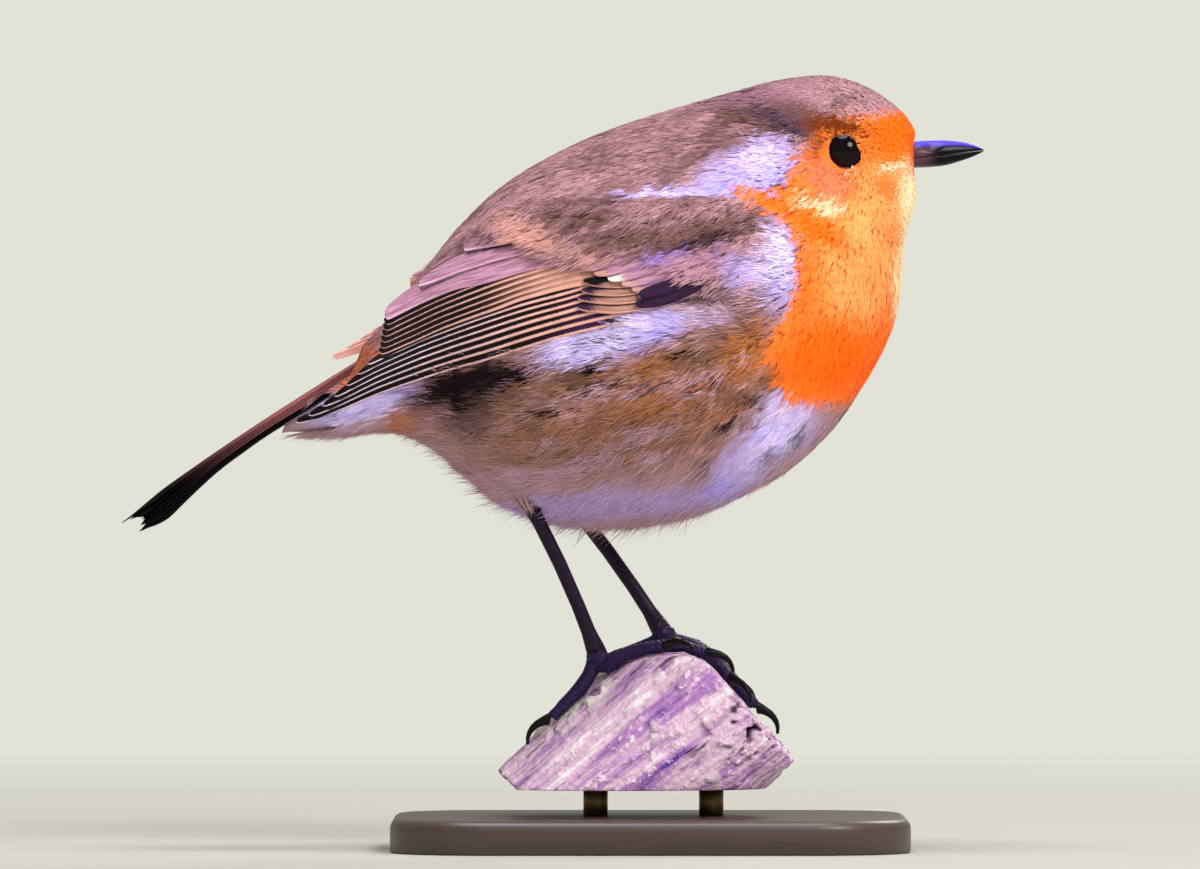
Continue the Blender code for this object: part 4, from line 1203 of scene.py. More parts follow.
def make_leg_tufts():
    """Short feathers that gather round the top of each leg."""
    rng = np.random.default_rng(91)
    for side, _ in SIDES:
        shank = points_mm(f"leg_{side}_shank")
        top = shank[shank[:, 2] > shank[:, 2].max() - 1.5].mean(0)
        foot = shank[shank[:, 2] < shank[:, 2].min() + 1.5].mean(0)
        down = unit(foot - top)
        over = unit(np.cross(down, (0.0, 1.0, 0.0)))
        side_way = np.cross(over, down)
        count = int(420 * max(PLUMAGE.fullness, 0.2))
        turns = rng.uniform(0, 2 * math.pi, count)
        out = over * np.cos(turns)[:, None] + side_way * np.sin(turns)[:, None]
        start = top - down * rng.uniform(0.5, 5.0, (count, 1)) + out * rng.uniform(0.8, 2.2, (count, 1))
        length = rng.uniform(2.6, 4.8, count)
        lean = out * rng.uniform(-0.28, 0.02, (count, 1))
        heading = unit(down + lean + rng.normal(0, 0.08, (count, 3)))
        rows = [start + heading * (length * stop)[:, None] for stop in BARB_STOPS]
        many = {
            "along": np.full(count, 0.62) + rng.normal(0, 0.004, count),
            "around": np.full(count, 0.5) + turns / (2 * math.pi) * 0.02,
            "chance": rng.random(count),
            "dark": np.full(count, 0.35),
            "fan": rng.uniform(-1, 1, count),
        }
        shares, _ = markings(start[:, 0], start[:, 2])
        shares["flank"] = rng.random(count)
        width = PLUMAGE.barb_width / MM * rng.uniform(0.8, 1.3, count)
        barb_piece(f"coat_leg_{side}", rows, [out] * 3, width, many, shares, 1, rng)


# ---- eyes, bill ----


def make_eyes():
    centre, radius = eye_place()
    eye_shine, nodes, shader = new_material("eye_wet", Roughness=0.06, Specular_IOR_Level=0.16)
    rim = nodes.noise(nodes.place(), 900.0, 2.0)
    nodes.feed(shader, "Base Color", nodes.mix(rim, BARE.eye, (0.001, 0.0006, 0.0008)))
    lid_skin, nodes, shader = new_material("eye_lid", Roughness=0.5)
    grain = nodes.noise(nodes.place(), 3000.0, 2.0)
    lid_shade = nodes.mix(grain, toned(BARE.lid, 0.55), BARE.lid)
    nodes.feed(shader, "Base Color", lid_shade)
    nodes.feed(shader, "Normal", nodes.bump(grain, 0.5, 0.0001))
    for side, sign in SIDES:
        middle = np.array([centre[0], sign * abs(centre[1]), centre[2]])
        rows, columns = 24, 48
        tilt = np.linspace(0.02, math.pi - 0.02, rows)
        turn = np.linspace(0, 2 * math.pi, columns, endpoint=False)
        ball = np.stack(
            [
                np.sin(tilt)[:, None] * np.cos(turn)[None],
                np.sin(tilt)[:, None] * np.sin(turn)[None],
                np.repeat(np.cos(tilt)[:, None], columns, 1),
            ],
            -1,
        )
        points, faces = closed_form(middle + ball * radius)
        eye = new_piece(f"eyeball_{side}", points, faces, eye_shine)
        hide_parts(f"eye_{side}")
        make_lid(side, sign, middle, radius, lid_skin)


def make_lid(side, sign, middle, radius, material):
    """A beaded rim that lies on the eyeball round its opening."""
    sides, count = 10, 72
    angle = math.radians(LID_SLANT)
    parts = []
    for index in range(count):
        turn = 2 * math.pi * index / count
        a, b = LID_SIZES[0] * math.cos(turn), LID_SIZES[1] * math.sin(turn)
        x = a * math.cos(angle) - b * math.sin(angle)
        z = a * math.sin(angle) + b * math.cos(angle)
        y = math.sqrt(max(radius**2 - x * x - z * z, 0.1))
        parts.append((x, sign * y, z))
    path = np.array(parts)
    outward = unit(path * np.array([1, 0.35, 1]))
    normal = unit(path)
    rings = []
    for index in range(count):
        bead = 0.1
        across = outward[index] - normal[index] * (outward[index] @ normal[index])
        across = across / np.linalg.norm(across)
        turns = np.linspace(0, 2 * math.pi, sides, endpoint=False)
        ring = path[index] + across * 0.08
        ring = ring + np.outer(np.cos(turns), across) * bead * 1.4
        ring = ring + np.outer(np.sin(turns), normal[index]) * bead
        rings.append(middle + ring)
    points = np.array(rings).reshape(-1, 3)
    faces = grid_faces(count, sides, closed=True)
    last = (count - 1) * sides
    for i in range(sides):
        j = (i + 1) % sides
        faces.append((last + i, last + j, j, i))
    new_piece(f"lid_{side}", points, faces, material)


# Side view of the bill, in body millimetres: ridge, cutting edge and keel.
CULMEN = ((37.3, 75.0), (39.7, 75.3), (43.2, 75.4), (45.6, 75.2), (47.3, 74.85), (48.5, 74.4), (49.1, 74.05))
GAPE = ((37.3, 72.7), (39.7, 72.9), (43.2, 73.3), (45.6, 73.6), (48.0, 73.85), (49.1, 73.95))
KEEL = ((37.3, 71.5), (39.7, 71.45), (43.2, 71.75), (45.6, 72.4), (47.3, 73.0), (48.5, 73.55), (49.1, 73.9))
NOSTRIL, NOSTRIL_DEPTH = 0.34, 0.3  # its place along the bill, and how much it narrows it
BILL_SIDES = 16


def side_line(guide, xs):
    """The height of a guide at given places along the bird."""
    dense = through(guide, np.linspace(0, 1, 200))
    return np.interp(xs, dense[:, 0], dense[:, 1])


def make_bill():
    """Two mandibles of horn: the upper arched over a fine cutting edge, with a nostril on each side."""
    horn, nodes, shader = new_material("bill_horn", Roughness=0.26, Specular_IOR_Level=0.14)
    lines = nodes.noise(nodes.stretched(nodes.place(), 0.0, (120.0, 1500.0, 1500.0)), 1.0, 3.0)
    dark = nodes.mix(lines, BARE.bill, toned(BARE.bill, 0.4))
    # The top of the upper mandible turns blue: a painted reflection of the sky along the ridge.
    shade = nodes.mix(nodes.ramp(nodes.value("rise"), 0.45, 0.95), dark, BARE.bloom)
    base = nodes.minus(1.0, nodes.ramp(nodes.value("reach"), 2.6, 5.2))
    base = nodes.times(base, nodes.minus(1.0, nodes.ramp(nodes.value("rise"), 0.4, 0.8)))
    shade = nodes.mix(nodes.times(base, 0.7), shade, BARE.gape)
    nodes.feed(shader, "Base Color", shade)
    nodes.feed(shader, "Normal", nodes.bump(lines, 0.12, 0.00015))
    half = (box_mm("bill_upper")[1][1] - box_mm("bill_upper")[0][1]) / 2
    first, last = CULMEN[0][0], CULMEN[-1][0]
    shares = np.sin(np.linspace(0, 1, 46) * math.pi / 2) ** 1.1
    xs = first + (last - first) * shares
    culmen, gape, keel = (side_line(guide, xs) for guide in (CULMEN, GAPE, KEEL))
    turns = np.linspace(0, math.pi, BILL_SIDES + 1)
    mandibles = (("upper", culmen, 0.85, 0.03, 1.0), ("lower", keel, 0.8, -0.03, 0.93))
    for name, edge, sharp, low, arch in mandibles:
        rings, rises = [], []
        for share, x, middle, far in zip(shares, xs, gape, edge):
            width = (0.1 + half * (1 - share**1.7) ** 0.8) * arch
            if name == "upper":
                beside = np.minimum(turns, math.pi - turns)
                hollow = np.exp(-(((share - NOSTRIL) / 0.08) ** 2) - ((beside - 0.75) / 0.4) ** 2)
                y = width * np.cos(turns) * (1 - NOSTRIL_DEPTH * hollow)
            else:
                y = width * np.cos(turns)
            bow = np.sin(turns) ** sharp
            z = middle + low + (far - middle) * bow
            inner = y[-2:0:-1]
            shell = np.stack([np.full(len(y), x), y, z], 1)
            floor = np.stack([np.full(len(inner), x), inner, np.full(len(inner), middle + low)], 1)
            rings.append(np.concatenate([shell, floor]))
            rises.append(np.concatenate([bow * (name == "upper"), np.zeros(len(inner))]))
        points, faces = closed_form(rings)
        piece = new_piece(f"mandible_{name}", points, faces, horn)
        set_values(piece.data, "rise", np.concatenate(rises))
        set_values(piece.data, "reach", np.repeat(xs - first, 2 * BILL_SIDES))
        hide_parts(f"bill_{name}")


# ---- flight feathers ----

# Guides over the closed wing, in side view, from its front to its tip. Feather edges lie between them.
SECONDARY_TOP = (
    (-7.4, 60.9), (-10.3, 59.7), (-13.2, 58.7), (-16.2, 57.6), (-19.1, 56.7), (-22.0, 55.9),
    (-25.0, 54.8), (-27.9, 53.7), (-30.9, 52.5), (-33.8, 51.2), (-36.8, 49.7), (-38.1, 48.7),
)
SECONDARY_END = (
    (-7.4, 54.2), (-10.3, 53.7), (-13.2, 53.1), (-16.2, 52.3), (-19.1, 51.5), (-22.0, 50.4),
    (-25.0, 49.4), (-27.9, 48.4), (-30.9, 47.3), (-33.8, 46.0), (-36.8, 44.7), (-39.2, 43.4),
)
PRIMARY_TOP = (
    (-3.7, 54.6), (-7.4, 53.8), (-10.3, 53.1), (-13.2, 52.2), (-16.2, 51.5), (-19.1, 50.7), (-22.0, 49.8),
    (-25.0, 48.8), (-27.9, 47.8), (-30.9, 46.7), (-33.8, 45.6), (-36.8, 44.2), (-39.7, 42.8),
    (-42.6, 41.0), (-45.6, 38.8), (-48.5, 36.8), (-51.5, 33.8),
)
PRIMARY_END = (
    (-2.2, 48.7), (-7.4, 47.6), (-10.3, 46.9), (-13.2, 46.2), (-16.2, 45.3), (-19.1, 44.4), (-22.0, 43.5),
    (-25.0, 42.6), (-27.9, 41.9), (-30.9, 41.0), (-33.8, 40.1), (-36.8, 39.1), (-39.7, 38.1),
    (-42.6, 36.9), (-45.6, 35.6), (-48.5, 34.4), (-51.6, 33.2),
)
TERTIAL_EDGES = (
    ((-13.2, 61.7), (-16.2, 61.2), (-19.1, 60.3), (-22.0, 59.7), (-25.0, 59.1), (-27.0, 58.5)),
    (
        (-13.2, 59.7), (-16.2, 58.9), (-19.1, 58.2), (-22.0, 57.5), (-25.0, 56.6), (-27.9, 55.7),
        (-30.9, 54.5), (-33.7, 53.4),
    ),
    (
        (-13.2, 57.0), (-16.2, 56.3), (-19.1, 55.6), (-22.0, 54.7), (-25.0, 53.9), (-27.9, 53.4),
        (-30.9, 52.3), (-33.8, 51.0), (-36.8, 49.4), (-38.2, 48.5),
    ),
)
TERTIAL_WIDTHS = (3.4, 2.7, 3.5)
SECONDARIES, PRIMARIES = 7, 7


class WingFace:
    """How far from the middle plane a wing's outer face stands, over the side view."""

    LOW, HIGH, STEP = (-58.0, 26.0), (26.0, 74.0), 0.8
    SPREADS, BLURS = 120, 5

    def __init__(self, side, sign):
        tree = tree_of(*(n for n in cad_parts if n.startswith(f"wing_{side}")))
        xs = np.arange(self.LOW[0], self.HIGH[0], self.STEP)
        zs = np.arange(self.LOW[1], self.HIGH[1], self.STEP)
        face = np.full((len(xs), len(zs)), np.nan)
        for i, x in enumerate(xs):
            for j, z in enumerate(zs):
                hit = tree.ray_cast(Vector((x, sign * 60.0, z)), Vector((0, -sign, 0)), 60.0)
                if hit[0]:
                    face[i, j] = abs(hit[0].y)
        known = ~np.isnan(face)
        filled, reached = np.where(known, face, 0.0), known.astype(float)
        for _ in range(self.SPREADS):
            near = self.mean_beside(reached)
            fresh = (reached == 0) & (near > 0)
            filled = np.where(fresh, self.mean_beside(filled) / np.maximum(near, 0.01), filled)
            reached = np.where(fresh, 1.0, reached)
        for _ in range(self.BLURS):
            filled = (self.mean_beside(filled) * 2 + filled) / 3
        self.face = filled

    @staticmethod
    def mean_beside(grid):
        wide = np.pad(grid, 1, mode="edge")
        return (wide[:-2, 1:-1] + wide[2:, 1:-1] + wide[1:-1, :-2] + wide[1:-1, 2:]) / 4

    def read(self, x, z):
        i = np.clip((x - self.LOW[0]) / self.STEP, 0, self.face.shape[0] - 1.001)
        j = np.clip((z - self.LOW[1]) / self.STEP, 0, self.face.shape[1] - 1.001)
        a, b = i.astype(int), j.astype(int)
        u, v = i - a, j - b
        low = self.face[a, b] * (1 - v) + self.face[a, b + 1] * v
        high = self.face[a + 1, b] * (1 - v) + self.face[a + 1, b + 1] * v
        return low * (1 - u) + high * u


def left_wing_lift():
    """How far the left wing's tip is carried forward and up, against the right one."""
    right, left = points_mm("wing_right_primaries"), points_mm("wing_left_primaries")
    move = left[left[:, 0].argmin()] - right[right[:, 0].argmin()]
    return move[0], move[2]


def carried(points, side):
    """Wing points of the right side moved to where the side's own wing is carried."""
    points = np.asarray(points, float)
    if side == "right":
        return points
    forward, up = left_wing_lift()
    share = ease(-points[..., 0], 27.0, 47.0)
    return np.stack([points[..., 0] + forward * share, points[..., 1] + up * share], -1)


def vane_shell(outer, inner, rows, columns):
    """A closed shell from two grids of points, as points and faces."""
    size = rows * columns
    faces = grid_faces(rows, columns)
    faces += [tuple(size + i for i in reversed(f)) for f in grid_faces(rows, columns)]
    rim = [(r, 0) for r in range(rows)] + [(rows - 1, c) for c in range(1, columns)]
    rim += [(r, columns - 1) for r in range(rows - 2, -1, -1)] + [(0, c) for c in range(columns - 2, 0, -1)]
    for (r, c), (p, q) in zip(rim, rim[1:] + rim[:1]):
        a, b = r * columns + c, p * columns + q
        faces.append((a, a + size, b + size, b))
    return np.concatenate([outer.reshape(-1, 3), inner.reshape(-1, 3)]), faces


def distance_to(line, points):
    """How far points lie from a line of several stretches, all in side view."""
    line, flat = np.asarray(line, float), points.reshape(-1, 2)
    nearest = np.full(len(flat), 1e9)
    for a, b in zip(line, line[1:]):
        run = b - a
        share = np.clip((flat - a) @ run / (run @ run), 0, 1)
        nearest = np.minimum(nearest, np.hypot(*(flat - a - share[:, None] * run).T))
    return nearest.reshape(points.shape[:-1])


def vane(edge, width, face, sign, sink, blunt=0.72, rows=26, columns=7, tip_at=0.42, above=None, chance=0.5):
    """One flight feather. edge is its lower edge in side view, and the web rises from it by width.
    sink is how deep under the wing's face it lies, blunt where its tip starts to round, and above
    the edge of the feather that lies over it."""
    stops = 1 - (1 - np.linspace(0, 1, rows)) ** 1.3
    line = through(edge, stops)
    ahead = unit(np.gradient(line, axis=0))
    up = np.stack([ahead[:, 1], -ahead[:, 0]], 1)
    up = np.where(up[:, 1:] < 0, -up, up)
    near_tip = np.clip((stops - blunt) / (1 - blunt), 0, 1)
    close = np.sqrt(np.maximum(1 - near_tip**2.2, 0))
    start = 0.55 + 0.45 * ease(stops, 0.0, 0.25)
    top = width * start * (tip_at + (1 - tip_at) * close)
    if above is not None:
        top = np.minimum(top, distance_to(above, line) + VANE_LAP)
    low = np.minimum(top, width * tip_at * (1 - np.sqrt(np.maximum(1 - near_tip**2.6, 0))))
    across = np.linspace(0, 1, columns) ** 1.25
    rise = low[:, None] + (top - low)[:, None] * across[None]
    flat = line[:, None] + up[:, None] * rise[..., None]
    camber = VANE_CAMBER * np.sin(across * math.pi)[None] * min(width, 3.0)
    out = face.read(flat[..., 0], flat[..., 1]) - sink - VANE_LEAN * rise + camber
    outer = np.stack([flat[..., 0], sign * out, flat[..., 1]], -1)
    inner = np.stack([flat[..., 0], sign * (out - VANE_THICK), flat[..., 1]], -1)
    points, faces = vane_shell(outer, inner, rows, columns)
    steps = np.concatenate([[0], np.cumsum(np.linalg.norm(np.diff(line, axis=0), axis=1))])
    edge_web = rise - low[:, None]
    gap = distance_to(above, flat) if above is not None else np.full(rise.shape, FAR_GAP)
    spine = np.repeat(stops, columns)
    open_side = np.full(rows * columns, 0.12)  # the inner face is nearly as pale as the fringe
    values = {
        "web": np.concatenate([edge_web.ravel(), open_side]),
        "gap": np.concatenate([gap.ravel(), open_side + FAR_GAP]),
        "along": np.concatenate([spine, spine * 0.3]),
        "reach": np.tile(np.repeat(steps, columns), 2),
        "chance": np.full(rows * columns * 2, chance),
    }
    return points, faces, values


VANE_THICK, VANE_CAMBER, VANE_STEP, VANE_LEAN = 0.06, 0.03, 0.085, 0.02
VANE_LAP = 0.9  # how far a web reaches under the feather above it
FAR_GAP = 9.0
VANE_VALUES = ("web", "gap", "along", "reach", "chance")


def barb_group():
    """Fine oblique barbs of a feather's web, from how far along and across a point lies."""
    existing = bpy.data.node_groups.get("web_barbs")
    if existing:
        return existing
    inputs = {"Reach": (FLOAT, 0.0), "Web": (FLOAT, 0.0), "Slant": (FLOAT, 0.9)}
    outputs = {"Barbs": FLOAT, "Mottle": FLOAT, "Streak": FLOAT}
    tree, nodes, given, leave = new_group("web_barbs", inputs, outputs)
    lengthwise = nodes.times(given["Reach"], 0.22)
    drawn = nodes.add("ShaderNodeCombineXYZ", X=lengthwise, Y=nodes.times(given["Web"], 4.5)).outputs[0]
    nodes.feed(leave, "Streak", nodes.noise(drawn, 1.0, 2.0))
    slid = nodes.minus(given["Reach"], nodes.times(given["Web"], given["Slant"]))
    fine = nodes.add("ShaderNodeCombineXYZ", X=nodes.times(slid, 5.5), Y=given["Web"]).outputs[0]
    nodes.feed(leave, "Barbs", nodes.noise(fine, 1.0, 2.0))
    broad = nodes.add("ShaderNodeCombineXYZ", X=nodes.times(slid, 0.6), Y=given["Web"]).outputs[0]
    nodes.feed(leave, "Mottle", nodes.noise(broad, 1.0, 2.0))
    return tree


def flight_material(
    name, fringes, shades, shadow=0.4, turn=0.35, tip=None, spare_tip=None, relief=0.35, root=None, gloss=0.16
):
    """A feather's web. The fringe along its edge has a width at its base and one at its tip. shades are
    the fringe's at its base and tip, and the web's. The fringe turns past turn, and the feather above
    casts a line of shadow. tip colours the web's end, and spare_tip that of the outer ones of a row.
    root is the web's colour at its base, and how far along it has turned into the web's own."""
    edge_shade, end_shade, web_shade = shades
    existing = bpy.data.materials.get(name)
    if existing:
        return existing
    material, nodes, shader = new_material(name, Roughness=0.66, Specular_IOR_Level=gloss)
    web, along, chance = nodes.value("web"), nodes.value("along"), nodes.value("chance")
    fine = use_group(nodes, barb_group(), Reach=nodes.value("reach"), Web=web).outputs
    ragged = nodes.times(nodes.minus(fine["Barbs"], 0.5), 0.22)
    uneven = nodes.plus(web, ragged)
    share = nodes.ramp(along, turn, 0.95)
    wide = nodes.add("ShaderNodeMapRange", Value=share)
    wide.inputs["To Min"].default_value = fringes[0]
    wide.inputs["To Max"].default_value = fringes[1]
    wide = nodes.times(wide.outputs[0], nodes.plus(0.8, nodes.times(chance, 0.4)))
    within = nodes.math("DIVIDE", uneven, wide)
    pale = nodes.minus(1.0, nodes.ramp(within, 0.72, 1.12))
    body = nodes.mix(fine["Mottle"], toned(web_shade, 0.7), toned(web_shade, 1.2))
    body = nodes.mix(nodes.ramp(fine["Streak"], 0.35, 0.7), toned(web_shade, 0.45), body)
    if root:
        body = nodes.mix(nodes.ramp(along, 0.3 * root[1], root[1]), tuple(root[0]), body)
    if tip:
        outer = nodes.ramp(nodes.math("ABSOLUTE", nodes.minus(chance, 0.42)), 0.06, 0.2)
        end = nodes.mix(outer, tuple(tip), tuple(spare_tip or tip))
        body = nodes.mix(nodes.ramp(nodes.plus(along, ragged), 0.72, 0.86), body, end)
    edge = nodes.mix(share, tuple(edge_shade), tuple(end_shade))
    lively = nodes.plus(0.66, nodes.times(fine["Mottle"], 0.6))
    grey = nodes.grey(lively)
    shade = nodes.mix(pale, body, nodes.mix(1.0, edge, grey, "MULTIPLY"))
    # Near the edge of the feather above, the web turns to quill: a painted line of shadow.
    under = nodes.plus(nodes.value("gap"), ragged)
    shadow_line = nodes.minus(1.0, nodes.ramp(under, 0.3 * shadow, shadow))
    if root:
        shadow_line = nodes.times(shadow_line, nodes.ramp(along, 0.1 * root[1], root[1]))
    shade = nodes.mix(shadow_line, shade, FLIGHT.quill)
    nodes.feed(shader, "Base Color", shade)
    if relief:
        nodes.feed(shader, "Normal", nodes.bump(fine["Barbs"], relief, 0.00012))
    return material


def feather_piece(name, feathers, material, replaced=None):
    """Several vanes as one piece."""
    points, faces = joined([(p, f) for p, f, _ in feathers])
    piece = new_piece(name, points, faces, material)
    for key in VANE_VALUES:
        set_values(piece.data, key, np.concatenate([values[key] for _, _, values in feathers]))
    if replaced:
        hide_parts(replaced)
    return piece


def between(first, second, share):
    """A guide that lies at a share of the way from one guide to another."""
    return np.asarray(first) + (np.asarray(second) - np.asarray(first)) * share


def make_flight_feathers():
    mauve, fringe, quill = FLIGHT.mauve, FLIGHT.fringe, FLIGHT.quill
    webs = {
        # The tertials' edges turn to blush towards their tips, which is a painted highlight.
        "tertials": flight_material("tertial_vane", (0.3, 0.35), (mauve, FLIGHT.blush, mauve), 0.5),
        "secondaries": flight_material(
            "secondary_vane", (0.5, 0.18), (fringe, FLIGHT.buff, quill), 0.4, 0.1, root=(FLIGHT.bistre, 0.55)
        ),
        "primaries": flight_material(
            "primary_vane", (0.44, 0.16), (fringe, FLIGHT.silver, quill), 0.5, 0.15, root=(FLIGHT.plum, 0.3)
        ),
    }
    for side, sign in SIDES:
        rng = np.random.default_rng(5)
        face = WingFace(side, sign)
        groups = {kind: [] for kind in webs}
        above = None
        for order, (kind, edge, width, blunt, tip_at) in enumerate(flight_plan()):
            edge = carried(edge, side)
            sink = VANE_STEP * (order - FLUSH_FEATHER)
            chance = rng.random()
            made = vane(edge, width, face, sign, sink, blunt, tip_at=tip_at, above=above, chance=chance)
            groups[kind].append(made)
            above = edge
        for kind, feathers in groups.items():
            replaced = None if kind == "tertials" else f"wing_{side}_{kind}"
            feather_piece(f"{kind}_{side}", feathers, webs[kind], replaced)
        make_coverts(side, sign, face)


FLUSH_FEATHER = 4  # the feather, counted from the top, that lies flush with the wing's face


def flight_plan():
    """The closed wing's feathers, top one first: kind, lower edge, width, how blunt, and where the tip is."""
    plan = []
    for line, width in zip(TERTIAL_EDGES, TERTIAL_WIDTHS):
        plan.append(("tertials", np.asarray(line), width, 0.4, 0.2))
    for index in range(SECONDARIES):
        guide = between(SECONDARY_TOP, SECONDARY_END, index / (SECONDARIES - 1))
        plan.append(("secondaries", through(guide, np.linspace(0, 1, 12)), 2.2, 0.86, 0.35))
    for index in range(PRIMARIES):
        share = (index / (PRIMARIES - 1)) ** 1.12
        guide = between(PRIMARY_TOP, PRIMARY_END, share)
        end = 0.78 + 0.22 * share
        plan.append(("primaries", through(guide, np.linspace(0, end, 15)), 1.2 + 0.8 * share, 0.8, 0.4))
    return plan


def covert_row(count, bases, tips, width, face, sign, sinks, side, blunt=0.55, sag=0.05):
    """A row of short feathers between a line of bases and a line of tips, the upper over the lower."""
    row, above = [], None
    for index in range(count):
        share = index / max(count - 1, 1)
        base, tip = through(bases, share), through(tips, share)
        middle = (base + tip) / 2 - np.array([0.0, sag]) * np.linalg.norm(tip - base)
        edge = carried(through([base, middle, tip], np.linspace(0, 1, 6)), side)
        sink = sinks[0] + (sinks[1] - sinks[0]) * share
        row.append(vane(edge, width, face, sign, sink, blunt, 16, 6, 0.5, above, share))
        above = edge
    return row


def make_coverts(side, sign, face):
    mauve, plum, quill = FLIGHT.mauve, FLIGHT.plum, FLIGHT.quill
    brown, cream, violet = FLIGHT.bistre, FLIGHT.cream, FLIGHT.violet
    kinds = (  # name, material, count, bases, tips, width, sinks, blunt, replaced node
        (
            "greater_coverts",
            # The greater coverts' fringes start in violet, which is a painted sheen.
            flight_material(
                "greater_covert_vane", (0.16, 0.12), (violet, mauve, mauve), 0.2, 0.5, cream, brown
            ),
            6,
            ((0.7, 59.4), (3.2, 58.8), (5.1, 57.9), (6.6, 56.9), (7.8, 55.7), (8.5, 54.5)),
            ((-10.1, 55.4), (-8.1, 54.6), (-6.1, 53.8), (-4.2, 53.1), (-2.7, 52.3), (-1.7, 51.3)),
            2.4,
            (-0.75, -0.45),
            0.6,
            f"wing_{side}_coverts",
        ),
        (
            "primary_coverts",
            flight_material(
                "primary_covert_vane", (0.3, 0.2), (FLIGHT.fringe, brown, brown), 0.35, 0.3, plum
            ),
            4,
            ((1.5, 54.6), (2.0, 53.4), (2.4, 52.2), (2.4, 51.0)),
            ((-9.1, 53.4), (-10.1, 52.3), (-10.7, 51.2), (-10.7, 49.8)),
            1.7,
            (-0.05, 0.25),
            0.4,
            None,
        ),
        # A short near-black feather laid in the shaded gap between the greater and the primary coverts: a
        # painted shadow.
        (
            "dark_covert",
            flight_material("dark_covert_vane", (0.05, 0.05), (quill, quill, quill)),
            1,
            ((-5.0, 54.7), (-4.9, 54.7)),
            ((-9.8, 54.1), (-9.9, 54.1)),
            0.9,
            (-0.3, -0.3),
            0.5,
            None,
        ),
        (
            "alula",
            flight_material("alula_vane", (0.1, 0.08), (plum, plum, plum), 0.3),
            2,
            ((7.4, 54.9), (8.2, 53.6)),
            ((-1.5, 51.4), (-2.0, 50.0)),
            2.1,
            (-0.95, -0.8),
            0.45,
            None,
        ),
    )
    for name, material, count, bases, tips, width, sinks, blunt, replaced in kinds:
        row = covert_row(count, bases, tips, width, face, sign, sinks, side, blunt)
        feather_piece(f"{name}_{side}", row, material, replaced)


# ---- tail ----

TAIL_FEATHERS = 6  # on each side
TAIL_REACH = (1.0, 0.97, 0.94, 0.935, 0.95, 0.965)  # each feather's length against the middle pair's
TAIL_BLUNT = (0.84, 0.95, 0.96, 0.96, 0.95, 0.88)  # where each feather's end starts to narrow
TAIL_LONGER = 0.02
TAIL_ROOF, TAIL_STEP = 2.0, 0.16  # how far the edges hang below the middle, and the step between feathers


def make_tail():
    """Twelve tail feathers, closed like a roof, the middle pair on top."""
    sooty = toned(FLIGHT.quill, 0.5)
    material = flight_material("tail_vane", (0.2, 0.2), (sooty, sooty, sooty), relief=0, gloss=0.04)
    top = flight_material(
        "tail_top_vane", (0.02, 0.02), (sooty, sooty, sooty), relief=0, gloss=0.04, root=(FLIGHT.rufous, 0.82)
    )
    tail = points_mm("tail")
    low, high = tail.min(0), tail.max(0)
    end_top = tail[tail[:, 0] < low[0] + 2.5][:, 2].max()
    start = np.array([high[0], high[2]])
    end = np.array([low[0], end_top])
    half = (high[1] - low[1]) / 2
    parts = (("outer", (4, 5), material, "tail"), ("middle", range(4), top, None))
    for name, indexes, finish, replaced in parts:
        feathers = []
        for sign in (-1, 1):
            feathers += [tail_feather(start, end, half, index, sign) for index in indexes]
        feather_piece(f"tail_feathers_{name}", feathers, finish, replaced)


def tail_feather(start, end, half, index, sign):
    """One tail feather, index 0 in the middle and 5 at the edge."""
    rows, columns = 32, 9
    length = np.linalg.norm(end - start)
    along = (end - start) / length
    over = np.array([along[1], -along[0]])
    over = over if over[1] > 0 else -over
    stops = 1 - (1 - np.linspace(0, 1, rows)) ** 1.4
    width = 6.6 - 0.3 * index
    reach = length * (TAIL_REACH[index] + TAIL_LONGER)
    offset = index * (half - width / 2) / (TAIL_FEATHERS - 1)
    spread = 0.2 + 0.8 * stops**0.8
    near = np.clip((stops - TAIL_BLUNT[index]) / (1 - TAIL_BLUNT[index]), 0, 1)
    close = 1 - near**1.8
    grow = 0.55 + 0.45 * ease(stops, 0.0, 0.4)
    across = np.linspace(-1, 1, columns)
    y = (offset * spread)[:, None] + across[None] * (width / 2 * grow * (0.04 + 0.96 * close))[:, None]
    y = y + 0.06 * (sign > 0) * (index == 0)
    deeper = 1 + 0.35 * ease(stops, 0.62, 0.9) + 0.5 * (1 - ease(stops, 0.1, 0.5))
    drop = deeper[:, None] * (TAIL_ROOF * (np.abs(y) / half) ** 1.5 + index * TAIL_STEP)
    drop = drop + 0.06 * (sign > 0) * (index == 0)
    sag = 0.5 * np.sin(stops * math.pi) - 0.5 * ease(stops, 0.8, 1.0)
    walk = (stops * reach)[:, None] - 0.8 * (across[None] ** 2) * near[:, None]
    grids = []
    for layer in (0.0, VANE_THICK):
        flat = start + along * walk[..., None] + over * (sag[:, None] - drop - layer)[..., None]
        grids.append(np.stack([flat[..., 0], sign * y, flat[..., 1]], -1))
    points, faces = vane_shell(grids[0], grids[1], rows, columns)
    web = np.broadcast_to((1 - across[None]) / 2 * width, y.shape)
    values = {
        "web": np.tile(web.ravel(), 2),
        "gap": np.full(rows * columns * 2, FAR_GAP),
        "along": np.tile(np.repeat(stops, columns), 2),
        "reach": np.tile(np.repeat(stops * reach, columns), 2),
        "chance": np.full(rows * columns * 2, (index * 0.37) % 1.0),
    }
    return points, faces, values


# ---- legs ----


